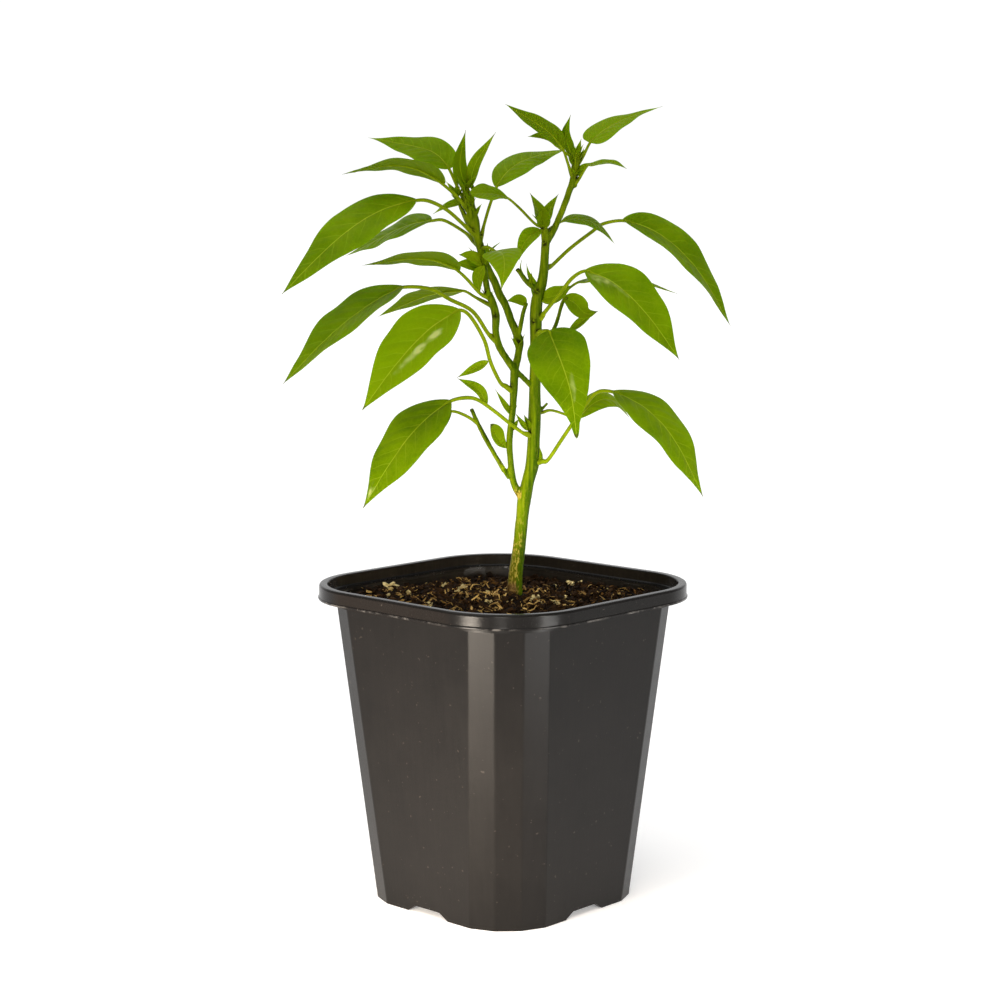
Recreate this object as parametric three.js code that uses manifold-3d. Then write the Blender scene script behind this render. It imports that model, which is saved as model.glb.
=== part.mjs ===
// A young chilli pepper plant in a square nursery pot, in millimetres with +Z up.
// The pot is a thin moulded shell with a rounded rim, filled with potting soil. One branched stem stands
// in a hole in the soil and carries the leaves, each of them a stalk with a thin arched blade.
import * as THREE from "three";
import { mergeVertices } from "three/addons/utils/BufferGeometryUtils.js";
import Module from "manifold-3d";

const wasm = await Module();
wasm.setup();

// Pot
const POT_HEIGHT = 153.5;
const POT_TURN = THREE.MathUtils.degToRad(47);
const RIM_HALF = 75;
const RIM_CORNER = 42;
const RIM_CORNER_STEPS = 6;
const RIM_WIDTH = 4.5;
const RIM_HEIGHT = 7.2;
const RIM_SOFTNESS = 0.6;
const COLLAR_HALF = 67.6;
const COLLAR_HEIGHT = 2.4;
const LEDGE = 1.6;
const BODY_TOP_HALF = 66;
const BODY_TOP_FACET = 13;
const BODY_FOOT_HALF = 52.3;
const BODY_FOOT_FACET = 12.3;
const CORNER_FACETS = 3;
const WALL = 1.6;
const FOOT_WALL = 2.6;
const FLOOR_UNDER = 4.8;
const FLOOR_TOP = 6.6;
const NOTCH_WIDTH = 26;
const NOTCH_TOP_WIDTH = 16;
const NOTCH_HEIGHT = 3.2;
const DRAIN_RADIUS = 5;
const DRAIN_OFFSET = 25;
const DRAIN_SIDES = 10;

// How far a cut runs past the wall that it goes through
const CUT_PAST = 10;

// Soil
const SOIL_SEED = 7;
const SOIL_EDGE_HEIGHT = 142.5;
const SOIL_MOUND = 3.2;
const SOIL_MOUND_SPREAD = 42;
const SOIL_CRUMB = 1.6;
const SOIL_SIDE_POINTS = 2;
const SOIL_RINGS = [1, 0.92, 0.81, 0.68, 0.54, 0.38, 0.2];
const CHIP_COUNT = 24;
const CHIP_CLEAR = 14;
const CHIP_REACH = 52;
const CHIP_SIZE = 1.7;
const CHIP_SPREAD = 2.2;
const CHIP_STRETCH = 0.9;
const CHIP_FLAT = [0.75, 0.65];
const CHIP_LIFT = 0.5;

// Clearance between two pieces that touch
const GAP = 0.3;

// Leaves
const BLADE_THICKNESS = 0.75;
const BLADE_STEPS = 8;
const BLADE_COLUMNS = 4;
const BLADE_ARCH = 0.15;
const BLADE_WAVE = 0.7;
const BLADE_WAVES = 2.5;
const BLADE_END_HALF = 0.35;
const OUTLINE_BASE_POWER = 0.8;
const OUTLINE_TIP_POWER = 1.3;
const STALK_RADIUS = 1.05;
const RIB_END_RADIUS = 0.55;
const RIB_SINK = 0.5;
const RIB_STEPS = 3;
const BUD_STEPS = 4;
const BUD_COLUMNS = 2;
const BUD_TILT = 65;
const BUD_FOLD = 25;
const STEM_SIDES = 8;
const STALK_SIDES = 5;

// Points on the plant are [across, up, depth], as seen from the front by an eye level with the upper
// leaves: across and up are where the eye sees the point on the upright plane through the pot's axis,
// and depth is how far it lies behind that plane. In a stem a fourth number is its radius.
const EYE_DISTANCE = 1072;
const EYE_HEIGHT = 337;
const EYE_ACROSS = -1.5;

const TRUNK = [
  [7, 122, 1, 3.2], [7, 146, 1, 3.8], [7.5, 156.5, 0, 3.1], [9, 169, 0, 2.9], [10.5, 183.5, 0, 2.8],
  [11.5, 193, 0, 3.1], [13.5, 202.5, 0, 2.8], [15.5, 211, 0, 3.1], [16, 222, 0, 2.8],
  [16.5, 236, 0, 2.9], [16.5, 245.5, 0, 2.6], [17, 264.5, 0, 2.5], [17, 280, 0, 2.8],
  [17.5, 288.5, 0, 2.6], [20, 297.5, 0, 2.2], [21, 307, 0, 1.8], [21.5, 316.5, 0, 1.8],
];
const LOW_FORK_BRANCH = [
  [11, 193, 0, 1.8], [6.5, 201.5, -2, 1.4], [5, 212, -4, 1.3], [4.5, 222, -5, 1.3],
  [6, 236, -6, 1.3], [6.5, 245.5, -6, 1.7], [7, 256, -6, 1.8],
];
const LEFT_FRONT_BRANCH = [
  [7, 255, -6, 1.6], [1.5, 263, -8, 1.4], [-1, 268, -9, 1.5], [-2, 274, -10, 1.4], [-2, 281, -10, 1.7],
  [-4, 288.5, -9, 1.5], [-6, 293, -7, 1.3], [-7.5, 303.5, -1, 1.2],
];
const LEFT_BACK_BRANCH = [
  [7, 255, -6, 1.6], [9, 264.5, -2, 1.5], [9, 269.5, -1, 1.9], [5.5, 278, 0, 1.6], [2.5, 286, 0, 1.6],
  [0, 290.5, 0, 1.7], [-2.5, 296.5, 1, 1.6], [-6, 303.5, 2, 1.6], [-8, 308, 2, 1.7],
  [-9.5, 314, 3, 1.8], [-11, 318.5, 3, 1.9], [-12, 325, 3, 2.2], [-14, 331.5, 3, 2.4],
  [-15.5, 336.5, 3, 1.9], [-16, 341.5, 3, 1],
];
const CROSS_BRANCH = [[7, 255.5, -6, 1.1], [11.5, 251, -3, 1], [16, 246.5, 0, 1.1]];
const FORK_UPRIGHT = [[21.5, 315, 0, 1.7], [21, 320, 0, 1.6], [20.5, 325, 0, 1.2]];
const RIGHT_SHOOT = [
  [21.5, 315, 0, 1.6], [24, 319, 1, 1.4], [27, 325, 3, 1.3], [30.5, 333.5, 4, 1.3],
  [33, 340.5, 5, 1.3], [34.5, 345, 5, 1.6], [36, 352.5, 6, 1.2], [35.5, 357.5, 6, 0.9],
];
const RIGHT_TWIG = [[17, 267, 1, 0.9], [25, 273.5, 4, 0.7], [29.5, 287, 6, 0.7], [32, 289.5, 6, 0.7]];
const RIGHT_LOW_TWIG = [[17, 264.5, 1, 0.9], [27.5, 268.5, 3, 0.7], [34, 274, 5, 0.7]];
const INNER_TWIG = [[8, 266, -1, 0.9], [9, 272, -2, 0.8], [11, 282.5, -3, 0.8], [12.5, 287, -3, 0.7]];
const DARK_TWIG = [[18, 293, 0, 1.3], [13, 296.5, -2, 1], [8, 303, -4, 0.8]];
const LIMBS = [
  TRUNK, LOW_FORK_BRANCH, LEFT_FRONT_BRANCH, LEFT_BACK_BRANCH, CROSS_BRANCH, FORK_UPRIGHT, RIGHT_SHOOT,
  RIGHT_TWIG, RIGHT_LOW_TWIG, INNER_TWIG, DARK_TWIG,
];

// Young leaves that are still part of a shoot. Their first point lies inside the stem.
const BUDS = [
  { half: 3.9, tilt: 10, blade: [[-16, 340, 3], [-19, 350.5, 1], [-18, 358.5, 0], [-16, 367.5, -1]] },
  { half: 3.4, blade: [[-14.5, 340.5, 3], [-12, 351.5, 2], [-7.5, 358.5, 3], [-2, 366.5, 4]] },
  { half: 2.2, blade: [[-16, 335, 3], [-25, 332.5, 6], [-31.5, 328.5, 8]] },
  { half: 3, tilt: 50, blade: [[35.5, 355.5, 6], [32, 366, 6], [34, 374.5, 5]] },
  { half: 1.6, blade: [[35.5, 354.5, 6], [38, 363.5, 7]] },
  { half: 1.5, blade: [[36, 354.5, 6], [39, 361, 4]] },
  { half: 3.2, blade: [[20, 323.5, 0], [18.5, 330.5, -1], [14.5, 338.5, -3]] },
  { half: 3.2, blade: [[21, 323.5, 0], [23.5, 330.5, 1], [28, 338, 3]] },
  { half: 3.3, blade: [[-7, 304.5, 1], [-14, 309, -2], [-18.5, 310, -3]] },
  { half: 2.6, blade: [[-5.5, 302.5, 1.5], [-15, 305, -1], [-20.5, 306.5, -2]] },
  { half: 2.2, blade: [[18, 292.5, 0], [13.5, 300, -2], [12.5, 305.5, -3]] },
  { half: 3.5, blade: [[19, 291, 0], [24.5, 291.5, -2], [32, 296.5, -3]] },
  { half: 4, blade: [[31, 289, 6], [38, 287, 6], [46.5, 285, 6]] },
  { half: 3, blade: [[33, 273.5, 5], [38, 278.5, 6], [43.5, 282.5, 7]] },
  { half: 3, blade: [[12.5, 286, -3], [9, 288.5, -4], [4, 288.5, -5]] },
  { half: 3.2, blade: [[4.5, 219, -5], [-1, 228, -8], [-4.5, 226, -9]] },
  { half: 1.8, blade: [[6, 233.5, -6], [2, 239, -7], [-1, 244.5, -8]] },
  { half: 1.5, blade: [[5.5, 226.5, -5], [9, 232, -4]] },
  { half: 1.6, blade: [[16.5, 215, 0], [21, 218, 1], [20.5, 222, 1]] },
];

// Each leaf has its stalk from the stem to the blade, the line of its midrib, half its width, the tilt of
// its upper face towards the front and the rise of its two halves, both in degrees.
const LEAVES = [
  { name: "leaf_crown_left", half: 7, tilt: -20, fold: 10,
    stalk: [[34.5, 344, 5], [32, 351.5, 3]],
    blade: [[30, 358.5, 3], [25.5, 365.5, 1], [16.5, 371.5, -3], [2.5, 379.5, -7]] },
  { name: "leaf_crown_left_small", half: 4, tilt: -35, fold: 30,
    stalk: [[35.5, 349, 5.5], [33, 355, 12]],
    blade: [[28, 359.5, 15], [23.5, 363, 18], [18.5, 364.5, 20], [13, 364.5, 22]] },
  { name: "leaf_crown_right", half: 8, tilt: 15, fold: 10,
    stalk: [[36, 351, 6], [39, 355.5, 8]],
    blade: [[42, 362, 10], [45.5, 367.5, 14], [57, 373, 22], [75.5, 378.5, 30]] },
  { name: "leaf_crown_right_small", half: 4, tilt: 5, fold: 15,
    stalk: [[35, 342, 5], [39, 348, 3]],
    blade: [[41, 351.5, 1], [47, 352.5, -1], [54, 352.5, -3], [59.5, 349.5, -4]] },
  { name: "leaf_top_left_high", half: 10, tilt: 35, fold: 10,
    stalk: [[-14.5, 331.5, 3], [-19, 339, 8], [-21, 343.5, 9]],
    blade: [[-23.5, 349.5, 10], [-30, 357.5, 16], [-44.5, 361, 24], [-61.5, 364, 30]] },
  { name: "leaf_top_left_low", half: 11, tilt: -15, fold: 10,
    stalk: [[-14.5, 329.5, 3], [-18, 334, -1], [-21, 337.5, -3]],
    blade: [[-26, 342.5, -6], [-35, 349, -12], [-51.5, 352, -18], [-74, 347, -22]] },
  { name: "leaf_top_middle", half: 9, tilt: 20, fold: 5,
    stalk: [[-9.5, 315, 3], [-7.5, 323.5, 6], [-5, 332, 8]],
    blade: [[-2, 341, 10], [2.5, 348, 15], [12.5, 354.5, 26], [31, 358.5, 38]] },
  { name: "leaf_top_inner", half: 6, tilt: 30, fold: 15,
    stalk: [[20.5, 322.5, 0], [16.5, 324, 3], [9.5, 331, 3]],
    blade: [[4, 336.5, -1], [-1, 339, -3], [-6.5, 339.5, -5], [-12.5, 339.5, -7]] },
  { name: "leaf_upper_left", half: 14, tilt: 35, fold: 10,
    stalk: [[-11, 318, 3], [-17.5, 324, -2], [-25, 330.5, -9], [-33, 334.5, -15]],
    blade: [[-39, 335.5, -20], [-56.5, 329.5, -28], [-77.5, 315, -35], [-103, 291, -40]] },
  { name: "leaf_upper_left_back", half: 11, tilt: 30, fold: 10,
    stalk: [[-10, 313.5, 3], [-16.5, 320, 10], [-26, 325.5, 19]],
    blade: [[-32, 326, 24], [-44.5, 324, 32], [-59, 317.5, 40], [-71.5, 310.5, 45]] },
  { name: "leaf_upper_right", half: 13, tilt: 40, fold: 20,
    stalk: [[21, 302.5, 1], [25, 305, 6], [33, 312.5, 15], [43.5, 320.5, 25], [48.5, 324, 28]],
    blade: [[57.5, 326, 31], [73, 321.5, 36], [93, 303.5, 40], [109, 276, 42]] },
  { name: "leaf_upper_right_short", half: 7, tilt: 15, fold: 5,
    stalk: [[21.5, 320, 2], [26, 323.5, 8]],
    blade: [[29, 325.5, 10], [37.5, 327, 12], [47, 323, 13], [54, 314.5, 13]] },
  { name: "leaf_middle_curled", half: 4.5, tilt: 40, fold: 30,
    stalk: [[20.5, 321, 0]],
    blade: [[19, 321.5, -3], [14, 318.5, -8], [10.5, 313.5, -11], [9, 307, -12]] },
  { name: "leaf_middle_drooping", half: 9, tilt: 10, fold: 10,
    stalk: [[-9, 312.5, 2], [-5.5, 313, -3]],
    blade: [[-2, 311.5, -8], [1.5, 310, -20], [2, 301.5, -32], [0.5, 292.5, -35]] },
  { name: "leaf_middle_left_high", half: 10, tilt: -20, fold: 10,
    stalk: [[-5.5, 289.5, -9], [-9.5, 291.5, -9], [-15, 297.5, -10]],
    blade: [[-19, 302, -11], [-24.5, 306, -15], [-40, 308.5, -22], [-65, 304.5, -28]] },
  { name: "leaf_middle_left_narrow", half: 9, tilt: -15, fold: 10,
    stalk: [[-4, 285.5, -9], [-11.5, 289.5, -3]],
    blade: [[-16.5, 293, 0], [-26, 293, 7], [-40, 289, 18], [-57.5, 280.5, 28]] },
  { name: "leaf_middle_left_long", half: 14, tilt: 20, fold: 20,
    stalk: [[-1, 268, -9], [-6, 273, -10], [-13, 283, -13], [-23.5, 288.5, -17], [-33, 293.5, -21]],
    blade: [[-45.5, 295, -24], [-59, 288.5, -30], [-80.5, 272, -38], [-103, 248.5, -42]] },
  { name: "leaf_middle_left_broad", half: 14, tilt: 45, fold: 20,
    stalk: [[6, 245, -6], [0, 249.5, -10], [-4.5, 259, -14], [-7.5, 269.5, -18], [-14, 280.5, -23]],
    blade: [[-19, 284, -26], [-33, 275.5, -36], [-49, 258.5, -44], [-65.5, 236, -48]],
    bud: { half: 2.3, blade: [[-4.5, 259, -14], [-11, 257.5, -15], [-19, 253, -16]] } },
  { name: "leaf_front", half: 14, tilt: 30, fold: 20,
    stalk: [[17, 271.5, 0], [19.5, 273.5, -6]],
    blade: [[21.5, 274, -11], [26.5, 261, -27], [32.5, 244.5, -35], [36, 223.5, -38]] },
  { name: "leaf_middle_right", half: 14, tilt: 35, fold: 20,
    stalk: [[18, 278, 0], [21.5, 283, -4], [28.5, 291.5, -8], [34, 298.5, -12]],
    blade: [[40, 302.5, -15], [54, 297, -22], [71, 280, -30], [85, 260, -34]] },
  { name: "leaf_middle_right_back", half: 8, tilt: 0, fold: 10,
    stalk: [[18.5, 279.5, 2], [26.5, 288.5, 8]],
    blade: [[35.5, 296.5, 13], [52, 299.5, 23], [68.5, 296.5, 33], [84.5, 291, 40]] },
  { name: "leaf_low_left", half: 14, tilt: 30, fold: 10,
    stalk: [[15.5, 223.5, 0], [10.5, 225.5, -6], [5, 229.5, -11], [-2.5, 235.5, -15],
      [-10.5, 241, -19], [-16.5, 242, -23]],
    blade: [[-23.5, 241, -26], [-38, 230, -34], [-51.5, 212.5, -40], [-65.5, 189, -43]],
    bud: { half: 3, blade: [[-4.5, 237, -16], [-11.5, 246.5, -18], [-18.5, 252.5, -19]] } },
  { name: "leaf_low_left_back", half: 10, tilt: 30, fold: 10,
    stalk: [[5, 208.5, -3], [0, 213, -2], [-5.5, 224.5, -2], [-12, 233.5, -4], [-16, 235.5, -5]],
    blade: [[-23, 236, -8], [-35.5, 229, -12], [-45, 218.5, -16], [-53.5, 205, -18]] },
  { name: "leaf_low_right", half: 14, tilt: 20, fold: 10,
    stalk: [[16, 210.5, 0], [23, 212.5, -3], [30, 223, -6], [39.5, 237, -10], [46, 244.5, -13]],
    blade: [[53.5, 245.5, -17], [69, 238, -24], [83.5, 222, -30], [97, 194.5, -33]] },
  { name: "leaf_low_right_back", half: 6, tilt: 40, fold: 10,
    stalk: [[17, 234.5, 0], [24, 236, 5], [38, 240, 11]],
    blade: [[43.5, 241.5, 14], [50.5, 241, 20], [57, 238, 26], [62.5, 234, 30]] },
];

// Materials
const potPlastic = new THREE.MeshStandardMaterial({ color: 0x2f2d2b, roughness: 0.45, metalness: 0 });
const pottingSoil = new THREE.MeshStandardMaterial({ color: 0x241811, roughness: 0.95, metalness: 0 });
const greenStem = new THREE.MeshStandardMaterial({ color: 0x6f8a26, roughness: 0.55, metalness: 0 });
const greenLeaf = new THREE.MeshStandardMaterial({ color: 0x5f8f14, roughness: 0.45, metalness: 0 });

// Numbers from 0 to 1 by a linear congruential rule, the same on every run
const RANDOM_FACTOR = 1664525;
const RANDOM_STEP = 1013904223;
const RANDOM_SPAN = 2 ** 32;

function seededRandom(seed) {
  let state = seed;
  return () => {
    state = (Math.imul(state, RANDOM_FACTOR) + RANDOM_STEP) >>> 0;
    return state / RANDOM_SPAN;
  };
}

// A closed geometry as a solid, and a solid as a geometry
const SAME_POINT = 1e-4;

function solidOf(geometry) {
  const bare = geometry.clone();
  bare.deleteAttribute("normal");
  bare.deleteAttribute("uv");
  const merged = mergeVertices(bare, SAME_POINT);
  return new wasm.Manifold(
    new wasm.Mesh({
      numProp: 3,
      vertProperties: new Float32Array(merged.attributes.position.array),
      triVerts: new Uint32Array(merged.index.array),
    }),
  );
}

function geometryOf(solid) {
  const mesh = solid.getMesh();
  const geometry = new THREE.BufferGeometry();
  geometry.setAttribute("position", new THREE.BufferAttribute(mesh.vertProperties, 3));
  geometry.setIndex(new THREE.BufferAttribute(mesh.triVerts, 1));
  geometry.computeVertexNormals();
  return geometry;
}

function joined(solids) {
  return solids.reduce((all, one) => all.add(one));
}

// The largest body of a solid, without the scraps that a cut leaves
function mainBody(solid) {
  const bodies = solid.decompose();
  return bodies.reduce((best, one) => (one.volume() > best.volume() ? one : best));
}

function meshOf(name, solid, material) {
  const mesh = new THREE.Mesh(geometryOf(solid), material);
  mesh.name = name;
  return mesh;
}

// A closed skin over rings of equally many points, with a fan over each end ring
function loft(rings) {
  const count = rings[0].length;
  const vertices = rings.flat();
  const faces = [];
  for (let r = 0; r + 1 < rings.length; r++) {
    for (let i = 0; i < count; i++) {
      const j = (i + 1) % count;
      const [a, b] = [r * count + i, r * count + j];
      faces.push(a, b, b + count, a, b + count, a + count);
    }
  }
  const middle = (ring) => ring.reduce((sum, p) => sum.add(p), new THREE.Vector3()).divideScalar(count);
  const first = vertices.push(middle(rings[0])) - 1;
  const last = vertices.push(middle(rings[rings.length - 1])) - 1;
  const top = (rings.length - 1) * count;
  for (let i = 0; i < count; i++) {
    const j = (i + 1) % count;
    faces.push(first, j, i, last, top + i, top + j);
  }
  return new THREE.BufferGeometry().setFromPoints(vertices).setIndex(faces);
}

// The body's section: a square whose corners are each cut by equal facets
const FACET_TURN = Math.PI / 2 / (CORNER_FACETS + 1);

function bodySection(half, facet, height) {
  const turn = FACET_TURN;
  const points = [];
  let reach = 0;
  for (let k = 1; k <= CORNER_FACETS; k++) {
    reach += Math.cos(k * turn) * facet;
  }
  for (let corner = 0; corner < 4; corner++) {
    const start = (corner * Math.PI) / 2;
    const at = new THREE.Vector2(half, half - reach);
    for (let k = 0; k <= CORNER_FACETS; k++) {
      const turned = at.clone().rotateAround(new THREE.Vector2(), start);
      points.push(new THREE.Vector3(turned.x, turned.y, height));
      const heading = (k + 1) * turn + Math.PI / 2;
      at.add(new THREE.Vector2(Math.cos(heading), Math.sin(heading)).multiplyScalar(facet));
    }
  }
  return points;
}

// The body's section at a height, drawn in by an inset measured square to its faces
function bodyRing(height, inset) {
  const share = height / (POT_HEIGHT - RIM_HEIGHT);
  const half = THREE.MathUtils.lerp(BODY_FOOT_HALF, BODY_TOP_HALF, share) - inset;
  const facetLoss = 2 * inset * Math.tan(FACET_TURN / 2);
  const facet = THREE.MathUtils.lerp(BODY_FOOT_FACET, BODY_TOP_FACET, share) - facetLoss;
  return bodySection(half, facet, height);
}

// An upright block with a rounded square outline
function roundedBlock(half, corner, bottom, top, softness) {
  const shape = new THREE.Shape();
  const flat = half - corner;
  shape.absarc(flat, flat, corner, 0, Math.PI / 2);
  shape.absarc(-flat, flat, corner, Math.PI / 2, Math.PI);
  shape.absarc(-flat, -flat, corner, Math.PI, 1.5 * Math.PI);
  shape.absarc(flat, -flat, corner, 1.5 * Math.PI, 2 * Math.PI);
  shape.closePath();
  const geometry = new THREE.ExtrudeGeometry(shape, {
    depth: top - bottom - 2 * softness,
    curveSegments: RIM_CORNER_STEPS,
    bevelEnabled: softness > 0,
    bevelThickness: softness,
    bevelSize: softness,
    bevelOffset: -softness,
    bevelSegments: 1,
  });
  return geometry.translate(0, 0, bottom + softness);
}

function potSolid() {
  const rimFoot = POT_HEIGHT - RIM_HEIGHT;
  const ledgeTop = rimFoot + LEDGE;
  const above = POT_HEIGHT + CUT_PAST;
  const body = solidOf(loft([bodyRing(0, 0), bodyRing(rimFoot + LEDGE / 2, 0)]));
  const rim = solidOf(roundedBlock(RIM_HALF, RIM_CORNER, rimFoot, POT_HEIGHT, RIM_SOFTNESS));
  const collarCorner = RIM_CORNER - (RIM_HALF - COLLAR_HALF);
  const collarFoot = rimFoot - COLLAR_HEIGHT;
  const collar = solidOf(roundedBlock(COLLAR_HALF, collarCorner, collarFoot, rimFoot + LEDGE / 2, 0));
  const mouthHalf = RIM_HALF - RIM_WIDTH;
  const mouth = solidOf(roundedBlock(mouthHalf, RIM_CORNER - RIM_WIDTH, ledgeTop, above, 0));
  const hollow = solidOf(loft([bodyRing(FLOOR_TOP, WALL), bodyRing(above, WALL)]));
  const underside = solidOf(loft([bodyRing(-CUT_PAST, FOOT_WALL), bodyRing(FLOOR_UNDER, FOOT_WALL)]));

  const notchShape = new THREE.Shape([
    new THREE.Vector2(-NOTCH_WIDTH / 2, -CUT_PAST),
    new THREE.Vector2(NOTCH_WIDTH / 2, -CUT_PAST),
    new THREE.Vector2(NOTCH_WIDTH / 2, 0),
    new THREE.Vector2(NOTCH_TOP_WIDTH / 2, NOTCH_HEIGHT),
    new THREE.Vector2(-NOTCH_TOP_WIDTH / 2, NOTCH_HEIGHT),
    new THREE.Vector2(-NOTCH_WIDTH / 2, 0),
  ]);
  const notchDepth = 3 * FOOT_WALL;
  const notches = [0, 1, 2, 3].map((side) => {
    const notch = new THREE.ExtrudeGeometry(notchShape, { depth: notchDepth, bevelEnabled: false });
    notch.rotateX(Math.PI / 2);
    notch.translate(0, BODY_FOOT_HALF + FOOT_WALL, 0);
    return solidOf(notch.rotateZ((side * Math.PI) / 2));
  });

  const drainAt = [[0, 0], [1, 1], [-1, 1], [-1, -1], [1, -1]];
  const drains = drainAt.map(([x, y]) => {
    const drain = new THREE.CylinderGeometry(DRAIN_RADIUS, DRAIN_RADIUS, 2 * FLOOR_TOP, DRAIN_SIDES);
    drain.rotateX(Math.PI / 2);
    return solidOf(drain.translate(x * DRAIN_OFFSET, y * DRAIN_OFFSET, FLOOR_TOP));
  });

  const cuts = joined([mouth, hollow, underside, ...notches, ...drains]);
  return joined([body, rim, collar]).subtract(cuts);
}

// A point given as it is seen from the front, in its true place
function seen([across, up, depth]) {
  const spread = 1 + depth / EYE_DISTANCE;
  const height = EYE_HEIGHT + (up - EYE_HEIGHT) * spread;
  return new THREE.Vector3(EYE_ACROSS + across * spread, depth, height);
}

// A tapered stem along points that each carry a radius, grown by a margin all round
function limb(points, sides, margin = 0) {
  const curve = new THREE.CatmullRomCurve3(points.map((p) => p.at), false, "catmullrom");
  const steps = points.length;
  const frames = curve.computeFrenetFrames(steps, false);
  const rings = [];
  for (let i = 0; i <= steps; i++) {
    const place = curve.getUtoTmapping(i / steps) * (points.length - 1);
    const from = Math.min(Math.floor(place), points.length - 2);
    const radius = THREE.MathUtils.lerp(points[from].radius, points[from + 1].radius, place - from) + margin;
    const centre = curve.getPointAt(i / steps);
    const ring = [];
    for (let k = 0; k < sides; k++) {
      const angle = (2 * Math.PI * k) / sides;
      const out = frames.normals[i].clone().multiplyScalar(Math.cos(angle) * radius);
      out.addScaledVector(frames.binormals[i], Math.sin(angle) * radius);
      ring.push(centre.clone().add(out));
    }
    rings.push(ring);
  }
  return solidOf(loft(rings));
}

const stemPoint = (p) => ({ at: seen(p), radius: p[3] });

// Places along a leaf's midrib, each with the directions along it, across it and out of its upper face
function midrib({ blade, tilt = BUD_TILT }, steps) {
  const curve = new THREE.CatmullRomCurve3(blade.map(seen), false, "catmullrom");
  const reach = curve.getPointAt(1).sub(curve.getPointAt(0));
  const level = reach.clone().cross(new THREE.Vector3(0, 0, 1)).normalize();
  const lean = THREE.MathUtils.degToRad(reach.x < 0 ? tilt : -tilt);
  const places = [];
  for (let i = 0; i <= steps; i++) {
    const at = curve.getPointAt(i / steps);
    const along = curve.getTangentAt(i / steps);
    const flat = level.clone().addScaledVector(along, -level.dot(along)).normalize();
    const up = flat.clone().cross(along);
    const side = flat.clone().multiplyScalar(Math.cos(lean)).addScaledVector(up, Math.sin(lean));
    const face = up.multiplyScalar(Math.cos(lean)).addScaledVector(flat, -Math.sin(lean));
    places.push({ at, side, face });
  }
  return places;
}

// Half the width of a blade from its base, 0, to its tip, 1, as a share of its greatest half width
function outline(share) {
  const widest = OUTLINE_BASE_POWER / (OUTLINE_BASE_POWER + OUTLINE_TIP_POWER);
  const shape = (t) => t ** OUTLINE_BASE_POWER * (1 - t) ** OUTLINE_TIP_POWER;
  return shape(share) / shape(widest);
}

// A thin blade whose halves rise from the midrib, arch over and wave at the edge
function bladeSolid(leaf, steps, columns, wave) {
  const places = midrib(leaf, steps);
  const rise = THREE.MathUtils.degToRad(leaf.fold ?? BUD_FOLD);
  const vertices = [];
  places.forEach(({ at, side, face }, i) => {
    const share = i / steps;
    const half = Math.max(leaf.half * outline(share), BLADE_END_HALF);
    for (let j = 0; j <= columns; j++) {
      const s = (2 * j) / columns - 1;
      const lift = half * (Math.abs(s) * Math.sin(rise) - BLADE_ARCH * s * s);
      const waving = Math.sin(2 * Math.PI * BLADE_WAVES * share + s);
      const ripple = wave * s * s * Math.sin(Math.PI * share) * waving;
      const p = at.clone().addScaledVector(side, s * half * Math.cos(rise));
      vertices.push(p.addScaledVector(face, lift + ripple));
    }
  });
  const sheet = vertices.length;
  for (let v = 0; v < sheet; v++) {
    const { face } = places[Math.floor(v / (columns + 1))];
    vertices.push(vertices[v].clone().addScaledVector(face, -BLADE_THICKNESS));
  }
  const faces = [];
  const quad = (a, b, c, d) => faces.push(a, b, c, a, c, d);
  const row = columns + 1;
  for (let i = 0; i < steps; i++) {
    for (let j = 0; j < columns; j++) {
      const a = i * row + j;
      quad(a, a + 1, a + row + 1, a + row);
      faces.push(a + sheet, a + row + 1 + sheet, a + 1 + sheet);
      faces.push(a + sheet, a + row + sheet, a + row + 1 + sheet);
    }
    const left = i * row;
    const right = left + columns;
    quad(left, left + row, left + row + sheet, left + sheet);
    quad(right, right + sheet, right + row + sheet, right + row);
  }
  for (let j = 0; j < columns; j++) {
    const tip = steps * row + j;
    quad(j + sheet, j + 1 + sheet, j + 1, j);
    quad(tip, tip + 1, tip + 1 + sheet, tip + sheet);
  }
  return solidOf(new THREE.BufferGeometry().setFromPoints(vertices).setIndex(faces));
}

// The midrib as it stands out under the blade, from its base to a third of its length
function ribPoints(leaf, radius) {
  const places = midrib(leaf, RIB_STEPS).slice(0, 2);
  return places.map(({ at, face }, i) => ({
    at: at.clone().addScaledVector(face, -RIB_SINK),
    radius: THREE.MathUtils.lerp(radius, RIB_END_RADIUS, i / (places.length - 1)),
  }));
}

function budSolid(bud) {
  return bladeSolid(bud, BUD_STEPS, BUD_COLUMNS, 0);
}

function leafSolid(leaf, stemRoom) {
  const stalkPoints = leaf.stalk.map((p) => ({ at: seen(p), radius: STALK_RADIUS }));
  const stalk = limb([...stalkPoints, ...ribPoints(leaf, STALK_RADIUS)], STALK_SIDES);
  const pieces = [bladeSolid(leaf, BLADE_STEPS, BLADE_COLUMNS, BLADE_WAVE), stalk];
  if (leaf.bud) pieces.push(budSolid(leaf.bud));
  return mainBody(joined(pieces).subtract(stemRoom));
}

function stemSolid() {
  const limbs = LIMBS.map((points) => limb(points.map(stemPoint), STEM_SIDES));
  return joined([...limbs, ...BUDS.map(budSolid)]);
}

// The room round the stem that every leaf and the soil keep clear of
function stemRoomSolid() {
  return joined(LIMBS.map((points) => limb(points.map(stemPoint), STEM_SIDES, GAP)));
}

// The soil fills the pot below a crumbly surface that rises a little towards its middle
function soilHeight(reach) {
  return SOIL_EDGE_HEIGHT + SOIL_MOUND * Math.exp(-((reach / SOIL_MOUND_SPREAD) ** 2));
}

// A ring with extra points along each of its sides
function withSidePoints(ring) {
  return ring.flatMap((p, i) => {
    const next = ring[(i + 1) % ring.length];
    return [...Array(SOIL_SIDE_POINTS).keys()].map((k) => p.clone().lerp(next, k / SOIL_SIDE_POINTS));
  });
}

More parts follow.
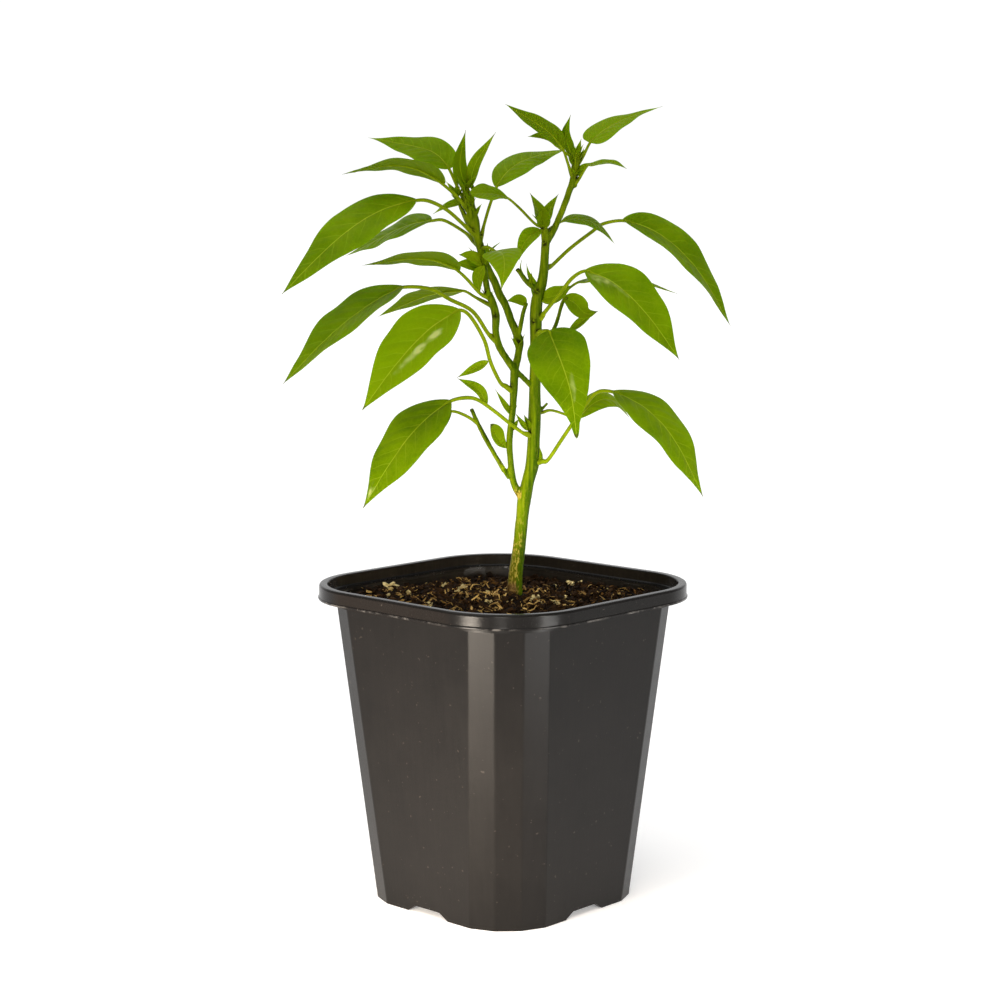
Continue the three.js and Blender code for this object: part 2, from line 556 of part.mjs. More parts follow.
// A piece of bark or a clod that lies half sunk in the surface
function chipSolid(random) {
  const size = CHIP_SIZE + CHIP_SPREAD * random();
  const angle = 2 * Math.PI * random();
  const reach = CHIP_CLEAR + (CHIP_REACH - CHIP_CLEAR) * Math.sqrt(random());
  const chip = new THREE.IcosahedronGeometry(size, 0);
  chip.scale(1 + CHIP_STRETCH * random(), ...CHIP_FLAT);
  chip.rotateZ(2 * Math.PI * random());
  chip.translate(reach * Math.cos(angle), reach * Math.sin(angle), soilHeight(reach) + CHIP_LIFT);
  return solidOf(chip);
}

function soilSolid() {
  const random = seededRandom(SOIL_SEED);
  const foot = withSidePoints(bodyRing(FLOOR_TOP + GAP, WALL + GAP));
  const edge = withSidePoints(bodyRing(SOIL_EDGE_HEIGHT, WALL + GAP));
  const surface = SOIL_RINGS.map((share) =>
    edge.map((p) => {
      const at = new THREE.Vector3(p.x * share, p.y * share, 0);
      const crumb = share === 1 ? 0 : SOIL_CRUMB * (2 * random() - 1);
      return at.setZ(soilHeight(at.length()) + crumb);
    }),
  );
  const chips = Array.from({ length: CHIP_COUNT }, () => chipSolid(random));
  return joined([solidOf(loft([foot, ...surface])), ...chips]);
}

// The pot stands square to X and Y and the plant is turned in it, as it was seen
const model = new THREE.Group();
const potted = new THREE.Group();
const plant = new THREE.Group();
plant.rotation.z = -POT_TURN;
model.add(potted);
potted.add(plant);

const stemRoom = stemRoomSolid();
const soilHole = solidOf(geometryOf(stemRoom).rotateZ(-POT_TURN));
potted.add(meshOf("pot", potSolid(), potPlastic));
potted.add(meshOf("soil", mainBody(soilSolid().subtract(soilHole)), pottingSoil));
plant.add(meshOf("stem", stemSolid(), greenStem));
for (const leaf of LEAVES) {
  plant.add(meshOf(leaf.name, leafSolid(leaf, stemRoom), greenLeaf));
}

// The origin lies below the middle of the whole object's outline, on the surface that it stands on
model.updateMatrixWorld(true);
const reach = new THREE.Box3().setFromObject(model, true);
potted.position.set(-(reach.min.x + reach.max.x) / 2, -(reach.min.y + reach.max.y) / 2, 0);

export default model;
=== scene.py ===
# %% [markdown]
# # A potted chilli pepper plant
#
# This lesson dresses a young chilli plant in a square nursery pot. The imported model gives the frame:
# every piece below is in metres, stands where that model says, and takes the place of one of its nodes.

import math
import random

import bmesh
import bpy
from mathutils import Matrix, Vector, noise
from mathutils.bvhtree import BVHTree


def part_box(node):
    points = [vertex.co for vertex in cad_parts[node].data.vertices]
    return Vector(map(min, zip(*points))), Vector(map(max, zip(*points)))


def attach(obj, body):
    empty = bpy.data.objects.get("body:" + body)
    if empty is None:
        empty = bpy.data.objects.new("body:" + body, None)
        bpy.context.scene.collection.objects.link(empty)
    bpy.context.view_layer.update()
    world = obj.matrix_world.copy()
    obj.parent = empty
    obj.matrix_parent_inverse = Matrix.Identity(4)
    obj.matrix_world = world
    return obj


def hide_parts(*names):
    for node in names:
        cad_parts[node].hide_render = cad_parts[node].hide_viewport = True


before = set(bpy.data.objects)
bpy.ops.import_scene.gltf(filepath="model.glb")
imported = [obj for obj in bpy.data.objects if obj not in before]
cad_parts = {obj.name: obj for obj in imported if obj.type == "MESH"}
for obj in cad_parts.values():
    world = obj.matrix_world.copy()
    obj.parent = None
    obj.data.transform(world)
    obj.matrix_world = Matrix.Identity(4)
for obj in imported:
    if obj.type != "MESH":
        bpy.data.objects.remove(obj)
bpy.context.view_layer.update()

# %% [markdown]
# ## Where things are
#
# The plant was measured from the front, in millimetres. A point on it is (across, up, depth): across and up
# are where an eye level with the upper leaves sees it on the upright plane through the pot's middle, and
# depth is how far behind that plane it lies. `seen` turns such a point into its true place, and turns the
# whole plant in its pot as it stands.

# %% The front view
MM = 0.001
POT_TURN = math.radians(47)
EYE_DISTANCE = 1072
EYE_HEIGHT = 337
EYE_ACROSS = -1.5

pot_low, pot_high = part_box("pot")
POT_MIDDLE = Vector(((pot_low.x + pot_high.x) / 2, (pot_low.y + pot_high.y) / 2, 0))
FRONT = Matrix.Rotation(-POT_TURN, 3, "Z")


def in_front_view(across, depth, up):
    """A true place given square to the front view, in millimetres."""
    return POT_MIDDLE + FRONT @ Vector((across, depth, up)) * MM


def seen(across, up, depth):
    """A place given as the eye sees it."""
    spread = 1 + depth / EYE_DISTANCE
    return in_front_view(EYE_ACROSS + across * spread, depth, EYE_HEIGHT + (up - EYE_HEIGHT) * spread)


print("pot middle", POT_MIDDLE)

# %% [markdown]
# ## Camera, floor and light
#
# The camera stands where the eye stood and tips down a little. The floor is a plain pale sheet that glows
# a little, like a light table, so that it stays white under the plant. The room is white behind the plant
# and dimmer on the camera's side, because a dark glossy pot shows its shape only where it has something
# darker to reflect. Its tapered walls mirror the floor just in front of them, so small low lamps and spots
# on the floor light its facets unevenly, and a broad sun from above and the left lights the leaves.

# %% Camera
LENS = 81.5
TIP_DOWN = math.radians(7.65)


def add_object(name, data):
    """A new object in the scene."""
    made = bpy.data.objects.new(name, data)
    bpy.context.scene.collection.objects.link(made)
    return made


camera_data = bpy.data.cameras.new("camera")
camera_data.lens = LENS
camera = add_object("camera", camera_data)
camera.location = in_front_view(EYE_ACROSS, -EYE_DISTANCE, EYE_HEIGHT)
camera.rotation_euler = (math.radians(90) - TIP_DOWN, 0, -POT_TURN)
bpy.context.scene.camera = camera

# %% Node helpers
def fill(tree, made, inputs):
    """Fills a node's inputs with numbers or with other nodes' outputs."""
    for key, value in inputs.items():
        if isinstance(value, bpy.types.NodeSocket):
            tree.links.new(value, made.inputs[key])
        else:
            made.inputs[key].default_value = value


def node(tree, kind, inputs=None, **settings):
    """Adds a node, sets it up and fills its inputs."""
    made = tree.nodes.new(kind)
    for key, value in settings.items():
        setattr(made, key, value)
    fill(tree, made, inputs or {})
    return made


def calc(tree, operation, *values):
    """The result of one step of arithmetic."""
    return node(tree, "ShaderNodeMath", dict(enumerate(values)), operation=operation).outputs[0]


def times(tree, first, second):
    """One value times another."""
    return calc(tree, "MULTIPLY", first, second)


def rest(tree, value):
    """What is left of 1."""
    return calc(tree, "SUBTRACT", 1.0, value)


def read(tree, name, part="Fac"):
    """What a mesh's corners carry under a name."""
    return node(tree, "ShaderNodeAttribute", attribute_name=name).outputs[part]


def mix_colour(tree, share, first, second):
    """A colour between two others."""
    mixed = node(tree, "ShaderNodeMix", {0: share, 6: first, 7: second}, data_type="RGBA")
    return mixed.outputs[2]


def step_up(tree, value, low, high):
    """Rises smoothly from 0 to 1 as the value goes from low to high."""
    ramp = node(tree, "ShaderNodeMapRange", {0: value, 1: low, 2: high}, interpolation_type="SMOOTHSTEP")
    return ramp.outputs[0]


def cloud(tree, where, scale, detail=3.0, roughness=0.55):
    """A noise pattern from 0 to 1, with features about 1/scale metres wide."""
    inputs = {"Vector": where, "Scale": scale, "Detail": detail, "Roughness": roughness}
    return node(tree, "ShaderNodeTexNoise", inputs).outputs[0]


def stretched(tree, where, x, y, z):
    """Coordinates scaled by different amounts along X, Y and Z."""
    return node(tree, "ShaderNodeMapping", {"Vector": where, "Scale": (x, y, z)}).outputs[0]


def new_material(name, roughness):
    """A material, its node tree, its shader and the object coordinates."""
    material = bpy.data.materials.new(name)
    material.use_nodes = True
    tree = material.node_tree
    shader = tree.nodes["Principled BSDF"]
    shader.inputs["Roughness"].default_value = roughness
    where = node(tree, "ShaderNodeTexCoord").outputs["Object"]
    return material, tree, shader, where


def use_bump(tree, shader, height, strength, distance):
    """Lets a pattern raise and sink the surface by up to a distance in metres."""
    bump = node(tree, "ShaderNodeBump", {"Height": height, "Strength": strength, "Distance": distance})
    fill(tree, shader, {"Normal": bump.outputs[0]})


# %% Floor and room
FLOOR_HALF = 12.0
FLOOR_GLOW = 0.25
ROOM_BEHIND = 1.05
ROOM_IN_FRONT = 0.35
# How far a direction points away from the camera where the room stops being dim, and where it is white.
DIM_TO, WHITE_FROM = 0.45, 0.93

bpy.ops.mesh.primitive_plane_add(size=2 * FLOOR_HALF, location=(0, 0, -0.0002))
floor = bpy.context.object
floor.name = "studio_floor"
floor_paint, floor_tree, floor_shader = new_material("floor_paint", 1.0)[:3]
fill(floor_tree, floor_shader, {
    "Base Color": (0.95, 0.95, 0.95, 1), "Specular IOR Level": 0.0,
    "Emission Color": (1, 1, 1, 1), "Emission Strength": FLOOR_GLOW})
floor.data.materials.append(floor_paint)


def make_room():
    """A white room whose half on the camera's side is dimmer."""
    room = bpy.data.worlds.new("room")
    room.use_nodes = True
    tree = room.node_tree
    direction = node(tree, "ShaderNodeTexCoord").outputs["Object"]
    backwards = FRONT @ Vector((0, 1, 0))
    facing = node(tree, "ShaderNodeVectorMath", {0: direction, 1: backwards}, operation="DOT_PRODUCT")
    share = step_up(tree, facing.outputs["Value"], DIM_TO, WHITE_FROM)
    strength = calc(tree, "MULTIPLY_ADD", share, ROOM_BEHIND - ROOM_IN_FRONT, ROOM_IN_FRONT)
    fill(tree, tree.nodes["Background"], {"Color": (1, 1, 1, 1), "Strength": strength})
    return room


bpy.context.scene.world = make_room()
bpy.context.scene.view_settings.view_transform = "Standard"

# %% Lamps
SUN_LEAN = math.radians(20)
SUN_ROUND = math.radians(-50)
SPOT_SIZE = 0.1
SPOT_HEIGHT = 0.12
WARM = (1.0, 0.8, 0.62)


def add_light(name, kind, **settings):
    """A light with its settings."""
    light = bpy.data.lights.new(name, kind)
    for key, value in settings.items():
        setattr(light, key, value)
    return add_object(name, light)


def stand_lamp(lamp, round_by, height, distance):
    """Stands a lamp at a height in metres, round_by degrees to the right of the camera, and hides it."""
    angle = math.radians(round_by)
    reach = distance / MM
    lamp.location = in_front_view(reach * math.sin(angle), -reach * math.cos(angle), height / MM)
    lamp.visible_camera = False


def add_lamp(name, round_by, height, distance, width, tall, aim, fan, power, colour):
    """A rectangular lamp that faces the height aim, in millimetres, on the pot's axis.

    A grid narrows its light to fan degrees, so that it brightens the pot and little reaches the leaves.
    """
    lamp = add_light(name, "AREA", shape="RECTANGLE", size=width, size_y=tall, spread=math.radians(fan),
                     energy=power, color=colour)
    stand_lamp(lamp, round_by, height, distance)
    target = in_front_view(0, 0, aim)
    lamp.rotation_euler = (lamp.location - target).to_track_quat("Z", "Y").to_euler()


def add_sun(power, angle):
    """A broad sun, which lights the far floor as well as the near."""
    sun = add_light("sun", "SUN", energy=power, angle=angle)
    across = math.sin(SUN_LEAN) * math.sin(SUN_ROUND)
    back = -math.sin(SUN_LEAN) * math.cos(SUN_ROUND)
    towards = FRONT @ Vector((across, back, math.cos(SUN_LEAN)))
    sun.rotation_euler = towards.to_track_quat("Z", "Y").to_euler()


def add_floor_spot(name, round_by, distance, power):
    """A small warm lamp that looks straight down. The pot mirrors the bright patch that it makes."""
    lamp = add_light(name, "AREA", shape="SQUARE", size=SPOT_SIZE, energy=power, color=WARM)
    stand_lamp(lamp, round_by, SPOT_HEIGHT, distance)


# name, degrees to the right, height, distance, width, tall, aim, fan, power, colour
add_lamp("key_left", -41, 0.05, 0.42, 0.14, 0.1, 46, 60, 0.62, (1.0, 0.88, 0.74))
add_lamp("fill_right", 49, 0.05, 0.42, 0.14, 0.1, 46, 60, 0.165, (1.0, 0.98, 0.95))
add_lamp("side_left", -86, 0.08, 0.5, 0.3, 0.14, 36, 60, 0.024, (1.0, 0.5, 0.2))
add_lamp("inside_right", 45, 0.2, 0.9, 0.1, 0.3, 130, 24, 0.08, (1.0, 0.95, 0.88))
add_lamp("inside_front", -6, 0.2, 0.9, 0.12, 0.2, 140, 24, 0.06, (1.0, 0.95, 0.88))
add_floor_spot("spot_left", -41, 0.2, 0.15)
add_floor_spot("spot_front", 4, 0.2, 0.22)
add_sun(1.75, math.radians(75))

# %% [markdown]
# ## Working by hand, in code
#
# Every piece starts from a primitive. The helpers below do what a hand does in the window: drop the
# selection, make one object active, apply its modifiers, join pieces and set the shading.

# %% Modelling helpers
def drop_selection():
    """Goes back to object mode with nothing selected."""
    if bpy.context.mode != "OBJECT":
        bpy.ops.object.mode_set(mode="OBJECT")
    bpy.ops.object.select_all(action="DESELECT")


def pick(*objects):
    """Selects these objects alone and makes the first one active."""
    drop_selection()
    for each in objects:
        each.select_set(True)
    bpy.context.view_layer.objects.active = objects[0]
    return objects[0]


def apply_modifier(piece, kind, **settings):
    """Adds a modifier with its settings and applies it."""
    pick(piece)
    modifier = piece.modifiers.new(kind.lower(), kind)
    for key, value in settings.items():
        setattr(modifier, key, value)
    bpy.ops.object.modifier_apply(modifier=modifier.name)


def joined(name, objects):
    """Several meshes made one."""
    pick(*objects)
    if len(objects) > 1:
        bpy.ops.object.join()
    whole = bpy.context.object
    whole.name = name
    return whole


def place_in_mesh(piece):
    """Moves an object's own place, turn and size into its mesh."""
    pick(piece)
    bpy.ops.object.transform_apply(location=True, rotation=True, scale=True)


def finish_piece(piece, slot, *nodes):
    """Lets a finished piece ride with the plant and stand for its nodes."""
    place_in_mesh(piece)
    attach(piece, "root")
    if nodes:
        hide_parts(*nodes)
    print(piece.name, len(piece.data.polygons), "faces")


def started(add_primitive, **settings):
    """A new piece from one of Blender's primitives."""
    drop_selection()
    add_primitive(**settings)
    return bpy.context.object


def shade_by_angle(degrees):
    """Smooths the shading wherever faces meet at less than an angle."""
    bpy.ops.object.shade_smooth_by_angle(angle=math.radians(degrees))


WELD = 1e-7


def weld():
    """Ends an edit: corners at one place become one, and all faces look outwards."""
    bpy.ops.mesh.select_all(action="SELECT")
    bpy.ops.mesh.remove_doubles(threshold=WELD)
    bpy.ops.mesh.normals_make_consistent(inside=False)
    bpy.ops.object.mode_set(mode="OBJECT")


def drawn_tube(thickness, resolution, stops):
    """A closed tube through stops, each a place and the radius there as a share of the thickness."""
    path = bpy.data.curves.new("tube", "CURVE")
    path.dimensions = "3D"
    path.bevel_depth = thickness
    path.bevel_resolution = resolution
    path.use_fill_caps = True
    spline = path.splines.new("POLY")
    spline.points.add(len(stops) - 1)
    for point, (place, radius) in zip(spline.points, stops):
        point.co = (*place, 1)
        point.radius = radius
    pick(add_object("tube", path))
    bpy.ops.object.convert(target="MESH")
    bpy.ops.object.mode_set(mode="EDIT")
    weld()
    return bpy.context.object


def paint(piece, name, values, kind="FLOAT"):
    """Writes values for the corners of a mesh under a name."""
    attribute = piece.data.attributes.new(name, kind, "POINT")
    attribute.data.foreach_set("value" if kind == "FLOAT" else "vector", values)


def grown_skin(sections, capped):
    """A skin drawn up by extruding a ring of corners from section to section."""
    piece = started(bpy.ops.mesh.primitive_circle_add, vertices=len(sections[0]), fill_type="NOTHING")
    for corner, place in zip(piece.data.vertices, sections[0]):
        corner.co = place
    bpy.ops.object.mode_set(mode="EDIT")
    bpy.ops.mesh.select_all(action="SELECT")
    if capped:
        bpy.ops.mesh.edge_face_add()
        bpy.ops.mesh.select_all(action="SELECT")
    below = sections[0]
    for section in sections[1:]:
        bpy.ops.mesh.extrude_region_move()
        shape = bmesh.from_edit_mesh(piece.data)
        for corner in shape.verts:
            if corner.select:
                nearest = min(range(len(below)), key=lambda i: (below[i] - corner.co).length_squared)
                corner.co = section[nearest]
        bmesh.update_edit_mesh(piece.data)
        below = section
    weld()
    return piece


# %% [markdown]
# ## The pot
#
# The real pot is injection moulded: a thin tapered shell whose corners are cut by three flat facets, with
# a rounded band round its mouth. It could be one cube, inset and bevelled, but then the facets and the
# taper would be a matter of luck. Here a ring of corners is set out by a rule and extruded from section to
# section, out over the foot, up the outside, and down the inside.

# %% The sections of the pot
POT_HEIGHT = 153.5
RIM_HALF = 75
RIM_CORNER = 42
RIM_WIDTH = 4.5
RIM_HEIGHT = 7.2
COLLAR_INSET = 7.4
COLLAR_HEIGHT = 2.4
LEDGE = 1.6
BODY_TOP = (66, 13)
BODY_FOOT = (52.3, 12.3)
CORNER_FACETS = 3
WALL = 1.6
FOOT_WALL = 2.6
FLOOR_UNDER = 4.8
FLOOR_TOP = 6.6
FACET_TURN = math.radians(90) / (CORNER_FACETS + 1)


def at_pot(x, y, up):
    """A true place given in millimetres from the pot's axis and foot."""
    return POT_MIDDLE + Vector((x, y, up)) * MM


def quarter(side):
    """The turn that brings what is made for the pot's first side to another side."""
    return Matrix.Rotation(math.radians(90) * side, 3, "Z")


def body_section(height, inset=0.0):
    """The sixteen corners of the tapered body at a height, drawn in by an inset."""
    share = height / (POT_HEIGHT - RIM_HEIGHT)
    half = BODY_FOOT[0] + (BODY_TOP[0] - BODY_FOOT[0]) * share - inset
    facet = BODY_FOOT[1] + (BODY_TOP[1] - BODY_FOOT[1]) * share
    facet -= 2 * inset * math.tan(FACET_TURN / 2)
    reach = sum(math.cos(k * FACET_TURN) for k in range(1, CORNER_FACETS + 1)) * facet
    corners = []
    for side in range(4):
        at = Vector((half, half - reach, 0))
        for k in range(CORNER_FACETS + 1):
            turned = quarter(side) @ at
            corners.append(at_pot(turned.x, turned.y, height))
            heading = (k + 1) * FACET_TURN + math.radians(90)
            at += Vector((math.cos(heading), math.sin(heading), 0)) * facet
    return corners


RIM_STEPS = 20


def rim_section(inset, height):
    """The rounded square of the rim, drawn in by an inset."""
    corner = RIM_CORNER - inset
    flat = RIM_HALF - RIM_CORNER
    places = []
    for side in range(4):
        for k in range(RIM_STEPS + 1):
            angle = math.radians(90) * (side + k / RIM_STEPS)
            centre = quarter(side) @ Vector((flat, flat, 0))
            reach = Vector((math.cos(angle), math.sin(angle), 0)) * corner
            places.append(POT_MIDDLE + Vector((0, 0, height)) * MM + (centre + reach) * MM)
    return places


def body_reach(angle, height, inset):
    """How far the body's outline lies from the pot's axis in a direction."""
    corners = [c - POT_MIDDLE for c in body_section(height, inset)]
    ray = Vector((math.cos(angle), math.sin(angle)))
    best = 0.0
    for i, start in enumerate(corners):
        end = corners[(i + 1) % len(corners)]
        edge = (end - start).xy
        across = ray.x * edge.y - ray.y * edge.x
        if abs(across) < 1e-12:
            continue
        far = (start.x * edge.y - start.y * edge.x) / across
        along = (start.x * ray.y - start.y * ray.x) / across
        if far > 0 and -1e-6 <= along <= 1 + 1e-6:
            best = max(best, far)
    return best


def body_section_round(height, inset):
    """The body's outline with as many points as the rim's, so that one can grow into the other."""
    places = []
    for place in rim_section(0, 0):
        flat = place - POT_MIDDLE
        angle = math.atan2(flat.y, flat.x)
        reach = body_reach(angle, height, inset)
        places.append(POT_MIDDLE + Vector((reach * math.cos(angle), reach * math.sin(angle), height * MM)))
    return places


# %% The pot's body
RIM_FOOT = POT_HEIGHT - RIM_HEIGHT
BODY_END = RIM_FOOT + LEDGE / 2
FACET_SOFTNESS = 0.8
POT_CREASE = 32

body = grown_skin([
    body_section(FLOOR_UNDER, FOOT_WALL),
    body_section(0, FOOT_WALL),
    body_section(0),
    body_section(BODY_END),
    body_section(BODY_END, WALL),
    body_section(FLOOR_TOP, WALL),
], capped=True)
pick(body)
bpy.ops.object.mode_set(mode="EDIT")
body_shape = bmesh.from_edit_mesh(body.data)
for edge in body_shape.edges:
    a, b = edge.verts
    edge.select = abs(a.co.z - b.co.z) > POT_HEIGHT * MM / 2
bmesh.update_edit_mesh(body.data)
bpy.ops.mesh.bevel(offset=FACET_SOFTNESS * MM, segments=3, affect="EDGES")
bpy.ops.object.mode_set(mode="OBJECT")
print("body", len(body.data.polygons), "faces")

# %% [markdown]
# The foot has a shallow notch in the middle of each side, and the raised floor has five round holes, so
# that water can leave. Both are cut with the Boolean modifier, each by a simple cutter.

# %% Notches and drain holes
NOTCH_WIDTH = 26
NOTCH_TOP_WIDTH = 16
NOTCH_HEIGHT = 3.2
DRAIN_RADIUS = 5
DRAIN_OFFSET = 25
DRAIN_SIDES = 32


def cut_away(piece, cutter):
    """Takes the cutter's shape out of a piece and removes the cutter."""
    apply_modifier(piece, "BOOLEAN", object=cutter, operation="DIFFERENCE", solver="EXACT")
    bpy.data.objects.remove(cutter)


def notch_cutter(side):
    """A wedge that is narrower at its top, laid through one side of the foot."""
    wedge = started(bpy.ops.mesh.primitive_cube_add, size=1)
    depth = 3 * FOOT_WALL
    for corner in wedge.data.vertices:
        is_top = corner.co.z > 0
        width = NOTCH_TOP_WIDTH if is_top else NOTCH_WIDTH + 2 * (NOTCH_WIDTH - NOTCH_TOP_WIDTH)
        height = NOTCH_HEIGHT if is_top else -2 * NOTCH_HEIGHT
        out = BODY_FOOT[0] - FOOT_WALL / 2 + corner.co.y * depth
        flat = Vector((math.copysign(width / 2, corner.co.x), out, height))
        corner.co = POT_MIDDLE + quarter(side) @ flat * MM
    return wedge


def drain_cutter(x, y):
    """An upright cylinder through the raised floor."""
    bore = started(bpy.ops.mesh.primitive_cylinder_add, vertices=DRAIN_SIDES, radius=DRAIN_RADIUS * MM,
                   depth=2 * FLOOR_TOP * MM, location=at_pot(x, y, FLOOR_TOP))
    place_in_mesh(bore)
    return bore


for side in range(4):
    cut_away(body, notch_cutter(side))
for x, y in [(0, 0), (1, 1), (-1, 1), (-1, -1), (1, -1)]:
    cut_away(body, drain_cutter(x * DRAIN_OFFSET, y * DRAIN_OFFSET))
print("body with its cuts", len(body.data.polygons), "faces")

# %% [markdown]
# The rim is a closed band. Its section is drawn once, from the collar that grips the body, out to a small
# lip at the band's lower edge, up over the rounded top and down the inside to a ledge.

# %% The pot's rim
LIP = 0.45
LEDGE_TOP = RIM_FOOT + LEDGE
rim_profile = [
    (COLLAR_INSET, RIM_FOOT - COLLAR_HEIGHT),
    (COLLAR_INSET, RIM_FOOT - 0.3),
    (COLLAR_INSET - 0.3, RIM_FOOT),
    (LIP + 0.3, RIM_FOOT),
    (0.1, RIM_FOOT + 0.1),
    (0, RIM_FOOT + 0.35),
    (0, RIM_FOOT + 0.9),
    (LIP * 0.7, RIM_FOOT + 1.15),
    (LIP, RIM_FOOT + 1.6),
    (LIP, POT_HEIGHT - 1.3),
    (LIP + 0.12, POT_HEIGHT - 0.7),
    (LIP + 0.4, POT_HEIGHT - 0.25),
    (LIP + 0.85, POT_HEIGHT),
    (RIM_WIDTH - 0.7, POT_HEIGHT),
    (RIM_WIDTH - 0.25, POT_HEIGHT - 0.12),
    (RIM_WIDTH, POT_HEIGHT - 0.5),
    (RIM_WIDTH, LEDGE_TOP + 0.5),
    (RIM_WIDTH + 0.5, LEDGE_TOP),
]
rim_sections = [body_section_round(RIM_FOOT - COLLAR_HEIGHT, WALL / 2)]
rim_sections += [rim_section(inset, height) for inset, height in rim_profile]
rim_sections.append(body_section_round(LEDGE_TOP, WALL / 2))
rim = grown_skin(rim_sections + [rim_sections[0]], capped=False)
print("rim", len(rim.data.polygons), "faces")

# %% [markdown]
# The plastic is charcoal with a soft gloss. Up close it has a fine grain from the mould, faint upright
# drag marks and a little dust. Its inside is painted a paler brown, a painted light where the pot shades
# itself, and the pale broken line along the band's lip is partly wear and partly a painted highlight. The
# grain belongs in the bump and the roughness, because it shows only where light grazes it.

# %% Charcoal plastic
def make_pot_plastic():
    material, tree, shader, where = new_material("charcoal_plastic", 0.4)
    height = node(tree, "ShaderNodeSeparateXYZ", {0: where}).outputs["Z"]
    blotches = cloud(tree, where, 45.0, 4.0, 0.65)
    drag = cloud(tree, stretched(tree, where, 500, 500, 14), 1.0, 4.0)
    bands = cloud(tree, stretched(tree, where, 9, 9, 420), 1.0, 3.0)
    grain = cloud(tree, where, 1300.0, 2.0)
    specks = step_up(tree, cloud(tree, where, 520.0, 1.0), 0.72, 0.8)
    tone = calc(tree, "MULTIPLY_ADD", drag, 0.45, times(tree, blotches, 0.55))
    base = mix_colour(tree, tone, (0.0034, 0.003, 0.0027, 1), (0.0086, 0.0076, 0.0068, 1))
    base = mix_colour(tree, times(tree, specks, 0.25), base, (0.1, 0.085, 0.07, 1))
    lip_top = calc(tree, "LESS_THAN", height, (RIM_FOOT + 1.0) * MM)
    lip = times(tree, lip_top, calc(tree, "GREATER_THAN", height, (RIM_FOOT - 0.15) * MM))
    normal = node(tree, "ShaderNodeNewGeometry").outputs["Normal"]
    outwards = node(tree, "ShaderNodeVectorMath", {0: normal, 1: where}, operation="DOT_PRODUCT")
    outside = calc(tree, "GREATER_THAN", outwards.outputs["Value"], 0.0)
    # A pale broken line along the band's lower lip: partly wear, partly a painted highlight where that edge
    # catches the light.
    lip_wear_and_highlight = times(tree, lip, step_up(tree, cloud(tree, where, 260.0, 3.0), 0.38, 0.6))
    broken = step_up(tree, cloud(tree, where, 55.0, 2.0), 0.42, 0.6)
    lip_wear_and_highlight = times(tree, times(tree, lip_wear_and_highlight, outside), broken)
    # Painted light: the inside walls are painted a paler brown, so that they read brighter where the pot
    # shades itself.
    inside_painted_light = times(tree, rest(tree, outside), tone)
    base = mix_colour(tree, inside_painted_light, base, (0.042, 0.032, 0.021, 1))
    base = mix_colour(tree, times(tree, lip_wear_and_highlight, 0.8), base, (0.1, 0.093, 0.085, 1))
    gloss = calc(tree, "MULTIPLY_ADD", grain, 0.16, 0.16)
    gloss = calc(tree, "ADD", gloss, times(tree, tone, 0.2))
    is_rim = calc(tree, "GREATER_THAN", height, RIM_FOOT * MM)
    gloss = calc(tree, "MULTIPLY_ADD", is_rim, -0.1, gloss)
    relief = calc(tree, "MULTIPLY_ADD", grain, 0.45, times(tree, drag, 0.3))
    relief = calc(tree, "MULTIPLY_ADD", bands, 0.35, relief)
    use_bump(tree, shader, relief, 0.35, 0.00015)
    fill(tree, shader, {"Base Color": base, "Roughness": gloss, "Specular IOR Level": 0.13})
    return material


pot_plastic = make_pot_plastic()
pot = joined("nursery_pot", [body, rim])
pot.data.materials.append(pot_plastic)
pick(pot)
shade_by_angle(POT_CREASE)
apply_modifier(pot, "WEIGHTED_NORMAL", keep_sharp=True)
finish_piece(pot, "pot", "pot")

# %% [markdown]
# ## The soil
#
# Potting mix is dark, moist and crumbly, with tan fibres, bark chips and a few pale clods. The bed is a
# grid whose squares are drawn out to the pot's inner outline and raised by noise. It could carry the bits
# as a relief too, but their undersides and gaps would be lost. So a few bits of each kind are modelled, and
# copies of them are scattered, lowered until they meet what lies below, and joined.

# %% The soil bed
SOIL_EDGE_HEIGHT = 142.5
SOIL_MOUND = 3.2
SOIL_SPREAD = 42
SOIL_GAP = 0.3
SOIL_CELLS = 150
STEM_FOOT = (7, 1)
STEM_HEAP = 1.6
STEM_HEAP_REACH = 8
CORNER_RISE = 2.6
CORNER_REACH = 70
SOIL_CREASE, BIT_CREASE, CLOD_CREASE = 60, 25, 50


def soil_height(x, y):
    """The height of the bed at a place given in millimetres from the pot's axis."""
    rise = SOIL_MOUND * math.exp(-((math.hypot(x, y) / SOIL_SPREAD) ** 2))
    here = Vector((x, y, 0))
    foot = FRONT @ Vector((*STEM_FOOT, 0))
    heap = STEM_HEAP * math.exp(-(((here - foot).length / STEM_HEAP_REACH) ** 2))
    heap += CORNER_RISE * ((FRONT.transposed() @ here).x / CORNER_REACH) ** 2
    lumps = 1.6 * noise.noise(here / 9) + 1.1 * noise.noise(here / 3.4)
    clods = 0.9 * abs(noise.noise(here / 1.8 + Vector((0, 0, 5))))
    return SOIL_EDGE_HEIGHT + rise + heap + lumps + clods


